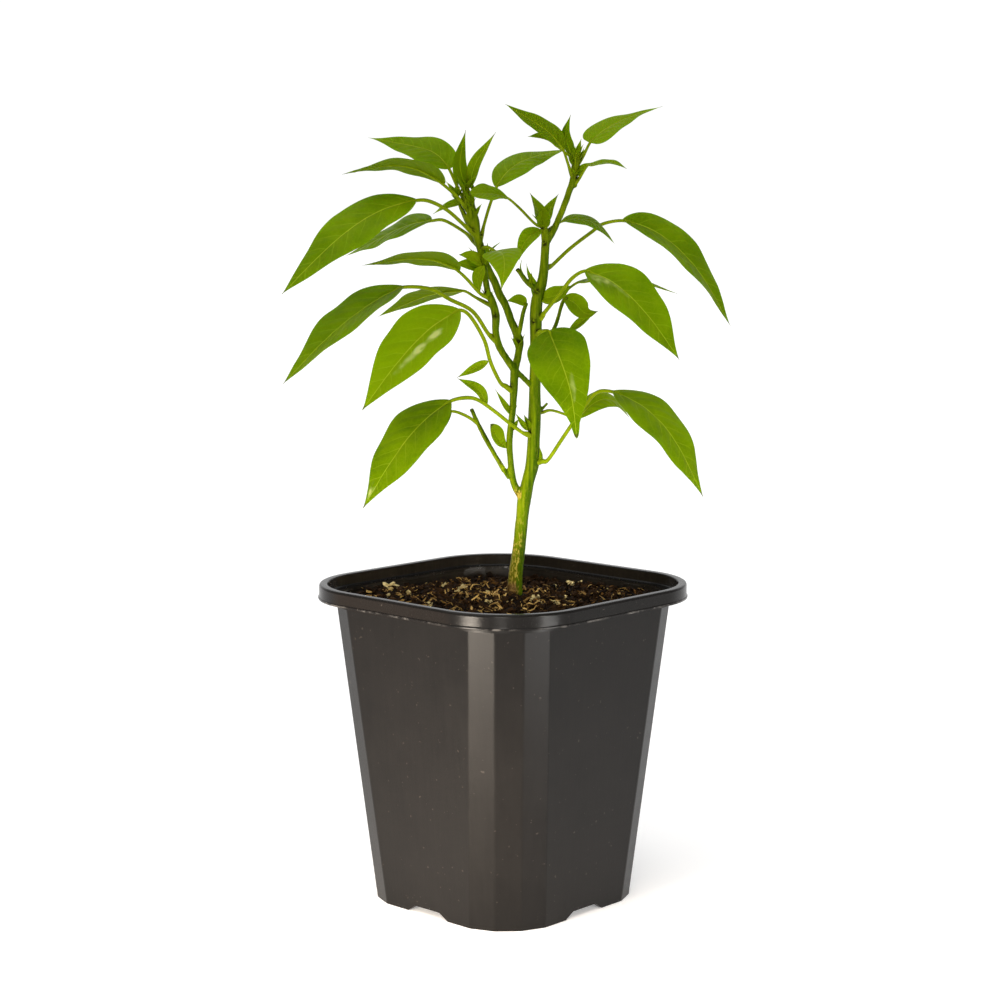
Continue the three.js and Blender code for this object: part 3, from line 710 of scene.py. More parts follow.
soil = started(bpy.ops.mesh.primitive_grid_add,
               x_subdivisions=SOIL_CELLS, y_subdivisions=SOIL_CELLS, size=2)
for corner in soil.data.vertices:
    share = max(abs(corner.co.x), abs(corner.co.y))
    angle = math.atan2(corner.co.y, corner.co.x)
    reach = share * body_reach(angle, SOIL_EDGE_HEIGHT, WALL + SOIL_GAP) / MM
    x, y = reach * math.cos(angle), reach * math.sin(angle)
    corner.co = at_pot(x, y, soil_height(x, y))
pick(soil)
bpy.ops.object.mode_set(mode="EDIT")
bpy.ops.mesh.select_all(action="SELECT")
bpy.ops.mesh.region_to_loop()
bpy.ops.mesh.extrude_region_move()
soil_shape = bmesh.from_edit_mesh(soil.data)
foot_share = body_reach(0, FLOOR_TOP, WALL + SOIL_GAP) / body_reach(0, SOIL_EDGE_HEIGHT, WALL + SOIL_GAP)
for corner in soil_shape.verts:
    if corner.select:
        flat = (corner.co - POT_MIDDLE) * foot_share
        corner.co = POT_MIDDLE + Vector((flat.x, flat.y, (FLOOR_TOP + SOIL_GAP) * MM))
bmesh.update_edit_mesh(soil.data)
bpy.ops.mesh.edge_face_add()
bpy.ops.mesh.select_all(action="SELECT")
bpy.ops.mesh.normals_make_consistent(inside=False)
bpy.ops.object.mode_set(mode="OBJECT")
shade_by_angle(SOIL_CREASE)

# %% Soil materials
def make_soil_material(name, dark, light, scale, roughness):
    """A crumbly natural material between two colours."""
    material, tree, shader, where = new_material(name, roughness)
    patches = step_up(tree, cloud(tree, where, scale, 5.0, 0.65), 0.35, 0.7)
    tone = calc(tree, "MULTIPLY_ADD", read(tree, "shade"), 0.75, times(tree, patches, 0.35))
    use_bump(tree, shader, cloud(tree, where, scale * 3, 4.0, 0.7), 0.8, 0.0006)
    fill(tree, shader, {"Base Color": mix_colour(tree, tone, dark, light), "Specular IOR Level": 0.1})
    return material


peat = make_soil_material("dark_peat", (0.0015, 0.0007, 0.0003, 1), (0.05, 0.022, 0.006, 1), 330, 0.85)
bark = make_soil_material("bark", (0.008, 0.0032, 0.0009, 1), (0.24, 0.11, 0.024, 1), 420, 0.75)
fibre = make_soil_material("golden_fibre", (0.14, 0.065, 0.012, 1), (1.0, 0.64, 0.2, 1), 400, 0.65)
clod = make_soil_material("pale_clod", (0.4, 0.25, 0.06, 1), (0.9, 0.74, 0.36, 1), 520, 0.75)
soil.data.materials.append(peat)
soil.name = "soil_bed"
finish_piece(soil, "soil", "soil")

# %% Loose bits on the soil
soil_draw = random.Random(11)
STEM_CLEAR = 4.2
BIT_REACH = 0.95
RICH_SPOT = (-3, -2)
RICH_REACH = 48


def richness(spot):
    """How many of the pale bits lie at a place, from 0 to 1: they lie in drifts, most of them in front."""
    away = (spot - FRONT @ Vector((*RICH_SPOT, 0))).length
    drift = 0.45 + 1.5 * noise.noise(Vector((spot.x, spot.y, 200)) / 10)
    return min(1, max(0, drift)) * (0.2 + 0.8 * math.exp(-((away / RICH_REACH) ** 2)))


def soil_spot(clear=0.0, gathered=False):
    """A random place on the bed, in millimetres from the pot's axis, and not on the stem."""
    while True:
        angle = soil_draw.uniform(-math.pi, math.pi)
        share = math.sqrt(soil_draw.random()) * BIT_REACH
        reach = share * body_reach(angle, SOIL_EDGE_HEIGHT, WALL + SOIL_GAP) / MM - clear
        spot = Vector((reach * math.cos(angle), reach * math.sin(angle), 0))
        foot = FRONT @ Vector((*STEM_FOOT, 0))
        if gathered and soil_draw.random() > richness(spot):
            continue
        if (spot - foot).length > STEM_CLEAR:
            return spot.x, spot.y


CRUMB_ROUGHNESS = 1.2
FEW_LARGE = 2.4
FEW_LIGHT = 1.5
BIT_TIP, BIT_ROLL = 1.1, 0.8


def lump(size, stretch, cuts, kept=1.0):
    """A rough crumb: a ball whose corners are pushed about, with a share of its faces kept."""
    crumb = started(bpy.ops.mesh.primitive_ico_sphere_add, subdivisions=cuts, radius=1)
    offset = Vector((soil_draw.uniform(0, 90), 0, 0))
    for corner in crumb.data.vertices:
        push = 1 + CRUMB_ROUGHNESS * noise.noise(corner.co * 1.4 + offset)
        corner.co = Vector([a * b for a, b in zip(corner.co, stretch)]) * push * size * MM
    if kept < 1:
        apply_modifier(crumb, "DECIMATE", ratio=kept)
    return crumb


def give_shade(piece, shade):
    """Makes a whole bit lighter or darker than its neighbours."""
    paint(piece, "shade", [shade] * len(piece.data.vertices))


DOWN = Vector((0, 0, -1))
SETTLING = 0.08
NO_GROUND = 1.0


def search_tree(piece):
    """A piece's faces in the form that finds quickly what a ray meets."""
    corners = [corner.co for corner in piece.data.vertices]
    return BVHTree.FromPolygons(corners, [tuple(face.vertices) for face in piece.data.polygons])


def fall(corner, trees):
    """How far a corner can fall before it meets a piece that is laid already, and 0 inside one."""
    met = [found for found in (tree.ray_cast(corner, DOWN) for tree in trees) if found[0]]
    if any(normal.z < 0 for place, normal, face, way in met):
        return 0.0
    return min([way for place, normal, face, way in met], default=NO_GROUND)


def settle(bit, trees):
    """Lowers a bit until it just sinks into what lies below it."""
    way = min(fall(corner.co, trees) for corner in bit.data.vertices)
    if 0 < way < NO_GROUND:
        bit.data.transform(Matrix.Translation(DOWN * (way + SETTLING * MM)))


def scatter(name, models, count, sizes, lift, material, laid, clear=0.0, gathered=False):
    """Copies of a few models, turned and sized by chance, settled on the pieces laid before, made one."""
    copies = []
    trees = [search_tree(piece) for piece in laid]
    for i in range(count):
        model = models[i % len(models)]
        copy = add_object(name, model.data.copy())
        x, y = soil_spot(clear, gathered)
        size = sizes[0] + (sizes[1] - sizes[0]) * soil_draw.random() ** FEW_LARGE
        turn = Matrix.Rotation(soil_draw.uniform(0, 2 * math.pi), 4, "Z")
        tip = Matrix.Rotation(soil_draw.uniform(-BIT_TIP, BIT_TIP), 4, "X")
        tip = tip @ Matrix.Rotation(soil_draw.uniform(-BIT_ROLL, BIT_ROLL), 4, "Y")
        place = at_pot(x, y, soil_height(x, y) + lift)
        copy.data.transform(Matrix.Translation(place) @ turn @ tip @ Matrix.Scale(size, 4))
        settle(copy, trees)
        give_shade(copy, soil_draw.random() ** FEW_LIGHT)
        copies.append(copy)
    for model in models:
        bpy.data.objects.remove(model)
    whole = joined(name, copies)
    whole.data.materials.clear()
    whole.data.materials.append(material)
    shade_by_angle(BIT_CREASE)
    return whole


FIBRE_RADIUS = 0.26
FIBRE_POINTS = 5


def strand(length, bend):
    """A fibre: a thin tube along a curl."""
    stops = []
    for i in range(FIBRE_POINTS):
        share = i / (FIBRE_POINTS - 1)
        side = bend * math.sin(math.pi * share) + 0.1 * length * soil_draw.uniform(-1, 1)
        rise = 0.1 * length * soil_draw.uniform(-0.4, 1)
        radius = (0.3 + 0.7 * math.sin(math.pi * min(1, share + 0.15))) * soil_draw.uniform(0.6, 1.3)
        stops.append((((share - 0.5) * length * MM, side * MM, rise * MM), radius))
    return drawn_tube(FIBRE_RADIUS * MM, 0, stops)


HALF_KEPT = 0.5
crumb_models = [lump(1, (1, 0.8, 0.8), 2, HALF_KEPT) for i in range(6)]
crumbs = scatter("soil_crumbs", crumb_models, 2800, (0.35, 2.3), 0.6, peat, [soil])
finish_piece(crumbs, "soil", "soil")
chip_models = [lump(1, (1.5, 0.6, 0.4), 1) for i in range(8)]
chips = scatter("bark_chips", chip_models, 900, (0.3, 1.5), 1.0, bark, [soil, crumbs])
finish_piece(chips, "soil", "soil")
splinter_models = [lump(1, (1.8, 0.45, 0.3), 1) for i in range(5)]
splinter_models += [strand(3 + i, (1.2, -1.6)[i % 2]) for i in range(4)]
fibres = scatter("fibres", splinter_models, 700, (0.25, 1.7), 1.5, fibre, [soil, crumbs, chips],
                 clear=2, gathered=True)
finish_piece(fibres, "soil", "soil")
clod_models = [lump(1, (1.1, 0.8, 0.7), 2) for i in range(4)]
pale = scatter("pale_clods", clod_models, 60, (0.35, 1.4), 1.3, clod, [soil, crumbs, chips],
               clear=3, gathered=True)

# %% [markdown]
# Some pale clods are large enough to be known one by one, so they are listed.

# %% The known clods
# across, depth, size
KNOWN_CLODS = [
    (-56, 29, 2.9), (-29, 34, 1.5), (-19, 24, 2.0), (-22, 16, 1.6), (-7, -15, 1.6), (15, -6, 1.9),
    (28, -4, 1.6), (33, 40, 1.7), (38, 45, 1.6), (26, 38, 1.3), (24, -12, 1.3), (52, 26, 1.2)]
placed = [pale]
for across, depth, size in KNOWN_CLODS:
    known = lump(size, (1.15, 0.85, 0.8), 3)
    spot = FRONT @ Vector((across, depth, 0))
    up = soil_height(spot.x, spot.y) + 0.35 * size
    known.data.transform(Matrix.Translation(at_pot(spot.x, spot.y, up)))
    known.data.materials.append(clod)
    give_shade(known, 0.75)
    placed.append(known)
pale = joined("pale_clods", placed)
shade_by_angle(CLOD_CREASE)
finish_piece(pale, "soil", "soil")

# %% [markdown]
# ## The stem
#
# A chilli stem forks again and again, and each fork is a smooth swelling. Tubes along listed points
# give the run of every branch. A voxel remesh then melts them into one skin, and smoothing rounds the
# forks as growth does.

# %% Smooth lines through points
LINE_STEPS = 24


def smooth_line(points):
    """Closely spaced places on a smooth line through points, each with its way along, from 0 to 1."""
    line = []
    for i in range(len(points) - 1):
        before = points[i - 1] if i else 2 * points[0] - points[1]
        a, b = points[i], points[i + 1]
        after = points[i + 2] if i + 2 < len(points) else 2 * points[-1] - points[-2]
        for k in range(LINE_STEPS):
            t = k / LINE_STEPS
            go, come = (b - before) / 2, (after - a) / 2
            bend = 2 * t ** 3 - 3 * t ** 2
            place = a * (bend + 1) + go * (t ** 3 - 2 * t ** 2 + t) - b * bend + come * (t ** 3 - t ** 2)
            line.append((place, (i + t) / (len(points) - 1)))
    line.append((points[-1], 1.0))
    return line


def tube(points, radii, sides, step):
    """A closed round tube along a smooth line, with a radius for each of its points, in millimetres."""
    line = smooth_line(points)
    kept = line[::step] + ([line[-1]] if (len(line) - 1) % step else [])
    stops = []
    for place, share in kept:
        at = share * (len(radii) - 1)
        low = min(int(at), len(radii) - 2)
        stops.append((place, radii[low] + (radii[low + 1] - radii[low]) * (at - low)))
    return drawn_tube(MM, max(0, sides // 4 - 1), stops)


# %% The branches
# Each point is (across, up, depth, radius).
LIMBS = {
    "trunk": [
        (7, 122, 1, 3.2), (7, 146, 1, 3.8), (7.5, 156.5, 0, 3.1), (9, 169, 0, 2.9), (10.5, 183.5, 0, 2.8),
        (11.5, 193, 0, 3.1), (13.5, 202.5, 0, 2.8), (15.5, 211, 0, 3.1), (16, 222, 0, 2.8),
        (16.5, 236, 0, 2.9), (16.5, 245.5, 0, 2.6), (17, 264.5, 0, 2.5), (17, 280, 0, 2.8),
        (17.5, 288.5, 0, 2.6), (20, 297.5, 0, 2.2), (21, 307, 0, 1.8), (21.5, 316.5, 0, 1.8)],
    "low fork branch": [
        (11, 193, 0, 1.8), (6.5, 201.5, -2, 1.4), (5, 212, -4, 1.3), (4.5, 222, -5, 1.3),
        (6, 236, -6, 1.3), (6.5, 245.5, -6, 1.7), (7, 256, -6, 1.8)],
    "left front branch": [
        (7, 255, -6, 1.6), (1.5, 263, -8, 1.4), (-1, 268, -9, 1.5), (-2, 274, -10, 1.4),
        (-2, 281, -10, 1.7), (-4, 288.5, -9, 1.5), (-6, 293, -7, 1.3), (-7.5, 303.5, -1, 1.2)],
    "left back branch": [
        (7, 255, -6, 1.6), (9, 264.5, -2, 1.5), (9, 269.5, -1, 1.9), (5.5, 278, 0, 1.6),
        (2.5, 286, 0, 1.6), (0, 290.5, 0, 1.7), (-2.5, 296.5, 1, 1.6), (-6, 303.5, 2, 1.6),
        (-8, 308, 2, 1.7), (-9.5, 314, 3, 1.8), (-11, 318.5, 3, 1.9), (-12, 325, 3, 2.2),
        (-14, 331.5, 3, 2.4), (-15.5, 336.5, 3, 1.9), (-16, 341.5, 3, 1)],
    "cross branch": [(7, 255.5, -6, 1.1), (11.5, 251, -3, 1), (16, 246.5, 0, 1.1)],
    "fork upright": [(21.5, 315, 0, 1.7), (21, 320, 0, 1.6), (20.5, 325, 0, 1.2)],
    "right shoot": [
        (21.5, 315, 0, 1.6), (24, 319, 1, 1.4), (27, 325, 3, 1.3), (30.5, 333.5, 4, 1.3),
        (33, 340.5, 5, 1.3), (34.5, 345, 5, 1.6), (36, 352.5, 6, 1.2), (35.5, 357.5, 6, 0.9)],
    "right twig": [(17, 267, 1, 0.9), (25, 273.5, 4, 0.7), (29.5, 287, 6, 0.7), (32, 289.5, 6, 0.7)],
    "right low twig": [(17, 264.5, 1, 0.9), (27.5, 268.5, 3, 0.7), (34, 274, 5, 0.7)],
    "inner twig": [(8, 266, -1, 0.9), (9, 272, -2, 0.8), (11, 282.5, -3, 0.8), (12.5, 287, -3, 0.7)],
    "dark twig": [(18, 293, 0, 1.3), (13, 296.5, -2, 1), (8, 303, -4, 0.8)],
    "bare stalk": [
        (4.5, 203.5, -3.5, 0.8), (1.8, 207.5, -3.5, 0.85), (-3.8, 217.1, -3, 0.85),
        (-9.3, 227.2, -4, 0.85), (-13.7, 236.8, -5, 0.75)],
    "short twig": [(17, 235, 0, 0.8), (20, 236.8, 1, 0.5), (22.5, 239.5, 2, 0.4)],
}

# %% The leaves' places
# name: half width, tilt, fold, stalk points, midrib points. Tilt turns the upper face towards the front
# and fold is how far the two halves rise, in degrees.
LEAVES = {
    "leaf_crown_left": (7, -20, 10, [(34.5, 344, 5), (32, 351.5, 3)],
        [(30, 358.5, 3), (25.5, 365.5, 1), (16.5, 371.5, -3), (2.5, 379.5, -7)]),
    "leaf_crown_left_small": (4, -35, 30, [(35.5, 349, 5.5), (33, 355, 12)],
        [(28, 359.5, 15), (23.5, 363, 18), (18.5, 364.5, 20), (13, 364.5, 22)]),
    "leaf_crown_right": (8.5, 20, 10, [(36, 351, 6), (39, 355.5, 8)],
        [(41.7, 361.7, 10), (47, 367, 13), (54.5, 371.3, 18), (64, 375, 24), (76, 378.5, 30)]),
    "leaf_crown_right_small": (4.5, 16, 15, [(35, 342, 5), (39, 348, 3)],
        [(41, 351.5, 1), (47, 352.5, -1), (54, 352.5, -3), (59.5, 349.5, -4)]),
    "leaf_top_left_high": (10, 35, 10, [(-14.5, 331.5, 3), (-19, 339, 8), (-21, 343.5, 9)],
        [(-23.5, 349.5, 10), (-30, 357.5, 16), (-44.5, 361, 24), (-61.5, 364, 30)]),
    "leaf_top_left_low": (11, -15, 10, [(-14.5, 329.5, 3), (-18, 334, -1), (-21, 337.5, -3)],
        [(-26, 342.5, -6), (-35, 349, -12), (-51.5, 352, -18), (-74, 347, -22)]),
    "leaf_top_middle": (9, 20, 5, [(-9.5, 315, 3), (-7.5, 323.5, 6), (-5, 332, 8)],
        [(-2, 341, 10), (2.5, 348, 15), (12.5, 354.5, 26), (31, 358.5, 38)]),
    "leaf_top_inner": (7.2, 32, 15, [(20.5, 322.5, 0), (16.5, 324, 3), (9.5, 331, 3)],
        [(4.5, 336, -1), (-1, 338, -3), (-7, 338.5, -5), (-14.5, 338, -7)]),
    "leaf_upper_left": (13.3, 35, 10,
        [(-11, 318, 3), (-17.5, 324, -2), (-25, 330.5, -9), (-33, 334.5, -15)],
        [(-39, 335.5, -20), (-56.5, 330.8, -28), (-77.5, 316.4, -35), (-103, 291, -40)]),
    "leaf_upper_left_back": (11, 30, 10, [(-10, 313.5, 3), (-16.5, 320, 10), (-26, 325.5, 19)],
        [(-32, 326, 24), (-44.5, 323.5, 32), (-59, 316, 40), (-72.5, 309, 45)]),
    "leaf_upper_right": (13, 40, 20,
        [(21, 302.5, 1), (25, 305, 6), (33, 312.5, 15), (43.5, 320.5, 25), (48.5, 324, 28)],
        [(57.5, 326, 31), (73, 321.5, 36), (93, 303.5, 40), (109, 276, 42)]),
    "leaf_upper_right_short": (6.3, 24, 5, [(21.5, 320, 2), (26, 323.5, 8)],
        [(29, 325.5, 10), (37.5, 327, 12), (47, 323, 13), (54, 314.5, 13)]),
    "leaf_middle_curled": (4.5, 40, 30, [(20.5, 321, 0)],
        [(19, 321.5, -3), (14, 318.5, -8), (10.5, 313.5, -11), (9, 307, -12)]),
    "leaf_middle_drooping": (9, 10, 10, [(-9, 312.5, 2), (-5.5, 313, -3)],
        [(-2, 311.5, -8), (1.5, 310, -20), (2, 301.5, -32), (0.5, 292.5, -35)]),
    "leaf_middle_left_high": (10, -20, 10, [(-5.5, 289.5, -9), (-9.5, 291.5, -9), (-15, 297.5, -10)],
        [(-19, 302, -11), (-24.5, 306, -15), (-40, 308.5, -22), (-65, 304.5, -28)]),
    "leaf_middle_left_narrow": (9, -15, 10, [(-4, 285.5, -9), (-11.5, 289.5, -3)],
        [(-16.5, 293, 0), (-26, 293, 7), (-40, 289, 18), (-57.5, 280.5, 28)]),
    "leaf_middle_left_long": (14, 20, 20,
        [(-1, 268, -9), (-6, 273, -10), (-13, 283, -13), (-23.5, 288.5, -17), (-33, 293.5, -21)],
        [(-45.5, 295, -24), (-59, 288.5, -30), (-80.5, 272, -38), (-103, 248.5, -42)]),
    "leaf_middle_left_broad": (14, 45, 20,
        [(6, 245, -6), (0, 249.5, -10), (-4.5, 259, -14), (-7.5, 269.5, -18), (-14, 280.5, -23)],
        [(-19, 284, -26), (-33, 275.5, -36), (-49, 258.5, -44), (-65.5, 236, -48)]),
    "leaf_front": (14.9, 30, 20, [(17, 271.5, 0), (19.5, 273.5, -6)],
        [(23, 274, -11), (28.3, 261, -27), (33.8, 244.5, -35), (36.6, 222.5, -38)]),
    "leaf_middle_right": (14, 35, 20, [(18, 278, 0), (21.5, 283, -4), (28.5, 291.5, -8), (34, 298.5, -12)],
        [(40, 302.5, -15), (54, 297, -22), (71, 280, -30), (85, 260, -34)]),
    "leaf_middle_right_back": (8, 0, 10, [(18.5, 279.5, 2), (26.5, 288.5, 8)],
        [(35.5, 296.5, 13), (52, 299.5, 23), (68.5, 296.5, 33), (84.5, 291, 40)]),
    "leaf_low_left": (14, 30, 10,
        [(15.5, 223.5, 0), (10.5, 225.5, -6), (5, 229.5, -11), (-2.5, 235.5, -15), (-10.5, 241, -19),
         (-16.5, 242, -23)],
        [(-23.5, 241, -26), (-38, 230, -34), (-51.5, 212.5, -40), (-65.5, 189, -43)]),
    "leaf_low_left_back": (10, 30, 10,
        [(1.8, 207.5, -3.5), (-3.8, 217.1, -3), (-9.3, 227.2, -4), (-11.8, 230.5, -5), (-17, 233.8, -6)],
        [(-23, 236, -8), (-35.5, 229, -12), (-45, 218.5, -16), (-53.5, 205, -18)]),
    "leaf_low_right": (14, 20, 10,
        [(16, 210.5, 0), (23, 212.5, -3), (30, 223, -6), (39.5, 237, -10), (46, 244.5, -13)],
        [(53.5, 245.5, -17), (69, 238, -24), (83.5, 222, -30), (97, 194.5, -33)]),
    "leaf_low_right_back": (5.6, 40, 10, [(17, 234.5, 0), (24.5, 236, 5), (31, 234, 8)],
        [(36.5, 231.5, 10), (42, 237.8, 13), (49, 242, 18), (56, 240, 24), (61.5, 232.5, 29)]),
}

# %% The young leaves' places
# half width, tilt, where the blade is widest, midrib points
YOUNG_LEAVES = [
    (3.9, 10, 0.32, [(-16, 340, 3), (-19, 350.5, 1), (-18, 358.5, 0), (-16, 367.5, -1)]),
    (3.4, 65, 0.32, [(-14.5, 340.5, 3), (-12, 351.5, 2), (-7.5, 358.5, 3), (-2, 366.5, 4)]),
    (2.2, 65, 0.32, [(-16, 335, 3), (-25, 332.5, 6), (-31.5, 328.5, 8)]),
    (3, 0, 0.32, [(34, 355.5, 6), (30.5, 365, 1), (33, 374.5, -3)]),
    (1.6, 65, 0.32, [(35.5, 354.5, 6), (38, 363.5, 7)]),
    (1.5, 65, 0.32, [(36, 354.5, 6), (39, 361, 4)]),
    (2.2, 65, 0.4, [(35.5, 346, 5), (39, 350, 5), (43, 352.5, 4)]),
    (5, 10, 0.34, [(20.3, 321.5, 0), (18.8, 329.5, -6), (14, 338.5, -10)]),
    (5, 10, 0.34, [(20.7, 321.5, 0.5), (22.4, 329.5, -5.4), (27.5, 338, -10)]),
    (3.6, 65, 0.4, [(-7, 304.5, 1), (-14, 309, -2), (-19.5, 309.5, -3)]),
    (3.3, 65, 0.45, [(-5.5, 302.5, 1.5), (-15, 305, -1), (-21.5, 305.3, -2)]),
    (3.2, 10, 0.4, [(-7.5, 304.5, -3), (-10.5, 299, -6), (-9.5, 291.5, -9)]),
    (2.2, 65, 0.32, [(18, 292.5, 0), (13.5, 300, -2), (12.5, 305.5, -3)]),
    (1.4, 65, 0.32, [(12, 297.5, -2), (9.5, 303, -3), (10.5, 308, -4)]),
    (4.8, 65, 0.42, [(18.5, 289, 0), (25, 290, -2), (34, 295, -3)]),
    (5.2, 65, 0.4, [(29.5, 289.5, 6), (35, 287.5, 5), (40.5, 281.5, 3), (46.3, 283, 1)]),
    (2.4, 65, 0.45, [(32, 272.5, 5), (37, 277, 6), (45, 283, 3)]),
    (3, 65, 0.35, [(12.5, 286, -3), (9, 288.5, -4), (3, 287.8, -5)]),
    (4.8, 65, 0.6, [(4, 217.5, -5), (-0.5, 221.8, -7), (-2.5, 226, -8), (-4.5, 229.5, -9)]),
    (1.8, 65, 0.32, [(6, 233.5, -6), (2, 239, -7), (-2.2, 246, -8)]),
    (1.5, 65, 0.32, [(5.5, 226.5, -5), (9, 232, -4)]),
    (2, 65, 0.4, [(14.2, 226.5, -1), (10.5, 229.5, -4), (7.5, 234.5, -5)]),
    (1.2, 10, 0.4, [(18.3, 209.8, -1), (19.6, 213.2, -2), (19, 218.2, -3)]),
    (2.4, 65, 0.35, [(-5.5, 259.5, -14), (-12, 256, -15), (-20.4, 251.6, -17)]),
    (3, 65, 0.4, [(-6.5, 237.5, -16), (-9.5, 245.5, -17.5), (-20.2, 251.2, -19)]),
]

# %% One skin for the stem
STEM_VOXEL = 0.42
SMOOTHING_LOSS = 0.28
NODE_SWELLING = 1.35
FLUTES = 1.3
FLUTE_DEPTH = 0.16
BUNDLE_RADIUS = 0.62
BUNDLE_SIDES, LIMB_SIDES, LIMB_STEP = 8, 16, 6
# The crowded young stalks of a shoot: its lower and upper end, how many, and how far they spread.
BUNDLES = [
    ((-12.5, 318.5, 3), (-17, 338, 3), 10, 4.2),
    ((-7, 300, 1), (-8, 309, 2), 5, 2.2),
    ((21, 315, 0), (20.5, 325, 0), 4, 1.6),
    ((34.5, 343, 5), (35.8, 355, 6), 5, 1.9),
]


def bundle_lines():
    """The line of each young stalk in the bundles, leaning out as it rises."""
    lines = []
    for low, high, count, spread in BUNDLES:
        start, end = seen(*low), seen(*high)
        for i in range(count):
            angle = 2 * math.pi * i / count
            outwards = Vector((math.cos(angle), math.sin(angle), 0)) * spread * MM
            lift = Vector((0, 0, math.sin(2.3 * i))) * 0.25 * (end - start).length
            lines.append([start, start.lerp(end, 0.5) + outwards * 0.7, end + outwards + lift])
    return lines


stem_tubes = []
for line in bundle_lines():
    stem_tubes.append(tube(line, [BUNDLE_RADIUS * 1.3, BUNDLE_RADIUS, BUNDLE_RADIUS * 0.8],
                           BUNDLE_SIDES, LIMB_STEP))
for points in LIMBS.values():
    places = [seen(a, u, d) for a, u, d, r in points]
    radii = [r + SMOOTHING_LOSS for a, u, d, r in points]
    stem_tubes.append(tube(places, radii, LIMB_SIDES, LIMB_STEP))
for half, tilt, fold, stalk, blade in LEAVES.values():
    stem_tubes.append(started(bpy.ops.mesh.primitive_ico_sphere_add, subdivisions=2,
                              radius=NODE_SWELLING * MM, location=seen(*stalk[0])))
stem = joined("chilli_stem", stem_tubes)
place_in_mesh(stem)
apply_modifier(stem, "REMESH", mode="VOXEL", voxel_size=STEM_VOXEL * MM)
apply_modifier(stem, "SMOOTH", factor=0.5, iterations=4)
outward = [corner.normal.copy() for corner in stem.data.vertices]
for corner, normal in zip(stem.data.vertices, outward):
    flat = Vector((corner.co.x, corner.co.y, corner.co.z * 0.12)) / MM
    corner.co += normal * FLUTE_DEPTH * MM * noise.noise(flat / FLUTES)
bpy.ops.object.shade_smooth()
print("stem", len(stem.data.polygons), "faces")

# %% [markdown]
# The stem is painted yellower on its left side and darker green on its right, a painted light and painted
# shade as from a lamp on the left. Near the soil that side turns golden and corky and the foot is brown,
# real colours laid heavier on the lit side, which is painted light; the tender shoots at the top are pale
# all round.
# The crook above each leaf stalk holds a dark spot, and so do the joints where leaves have dropped. Four
# attributes say where: `painted_lit_and_tender`, `cork`, `foot` and `scar`.

# %% Where the stem is corky, and where it is dark
CORK_END = 197
FOOT_FULL, FOOT_END = 149, 158
SCAR_REACH = 1.4
STALK_EXIT = 3.0
AXIL_RISE = 1.1
TENDER_FROM, TENDER_END = 285, 325
FIRST_FORK = seen(8.2, 195.8, -2.5)
FORK_REACH = 2.2
LEFTWARD = FRONT @ Vector((-1, 0, 0))
BARE_JOINTS = [(-2.5, 281, -12), (8, 268.4, -5), (17.5, 292.5, -3), (20.4, 314.8, -3), (15.8, 278.3, -3),
               (-13.3, 236.6, -5), (8, 303, -4)]


def on_stem(place):
    """The nearest place on the stem's skin."""
    return stem.closest_point_on_mesh(place)[1]


def axil(stalk, blade):
    """The place on the stem just above where a stalk leaves it."""
    line = [seen(*p) for p in stalk + blade[:1]]
    leaving = (line[1] - line[0]).normalized() * STALK_EXIT + Vector((0, 0, AXIL_RISE))
    return on_stem(line[0] + leaving * MM)


scar_places = [axil(stalk, blade) for half, tilt, fold, stalk, blade in LEAVES.values()]
scar_places += [on_stem(seen(*p)) for p in BARE_JOINTS]


def scar_at(place):
    """How dark a spot is, from 0 to 1, by its distance from the nearest scar."""
    nearest = min((place - scar).length for scar in scar_places) / MM
    return min(1, 1.4 * math.exp(-((nearest / SCAR_REACH) ** 2)))


def rise_between(value, low, high):
    """Rises smoothly from 0 to 1 as the value goes from low to high."""
    share = min(1, max(0, (value - low) / (high - low)))
    return share * share * (3 - 2 * share)


cork_values, foot_values, painted_lit_and_tender_values = [], [], []
outward = [corner.normal.copy() for corner in stem.data.vertices]
for corner, normal in zip(stem.data.vertices, outward):
    height = corner.co.z / MM
    leftness = normal.dot(LEFTWARD)
    low = 1 - rise_between(height, SOIL_EDGE_HEIGHT, CORK_END)
    # Cork and the brown foot are the stem's own colours; laying them heavier on the left, lit side is
    # painted light.
    lit_side = rise_between(leftness, -0.5, -0.1)
    fork = math.exp(-(((corner.co - FIRST_FORK).length / MM / FORK_REACH) ** 2))
    cork_values.append(min(1, lit_side * 0.75 * low + 0.9 * fork))
    foot = 1 - rise_between(height, FOOT_FULL, FOOT_END)
    foot_values.append(foot * (0.3 + 0.7 * lit_side))
    tender = rise_between(height, TENDER_FROM, TENDER_END)
    # Painted light and shade: the side facing left is painted yellower, as if lit, and the right side
    # darker green; the tender shoots are pale all round.
    painted_lit_and_tender_values.append(0.46 + 0.5 * leftness + 0.3 * tender)
paint(stem, "cork", cork_values)
paint(stem, "foot", foot_values)
paint(stem, "painted_lit_and_tender", painted_lit_and_tender_values)
paint(stem, "scar", [scar_at(corner.co) for corner in stem.data.vertices])
print("dark spots on the stem", len(scar_places))


SCAR_BROWN = (0.012, 0.009, 0.003, 1)


def with_scars(tree, where, skin):
    """A skin with ragged dark spots where scars are."""
    ragged = step_up(tree, cloud(tree, where, 900.0), 0.3, 0.55)
    return mix_colour(tree, times(tree, read(tree, "scar"), ragged), skin, SCAR_BROWN)


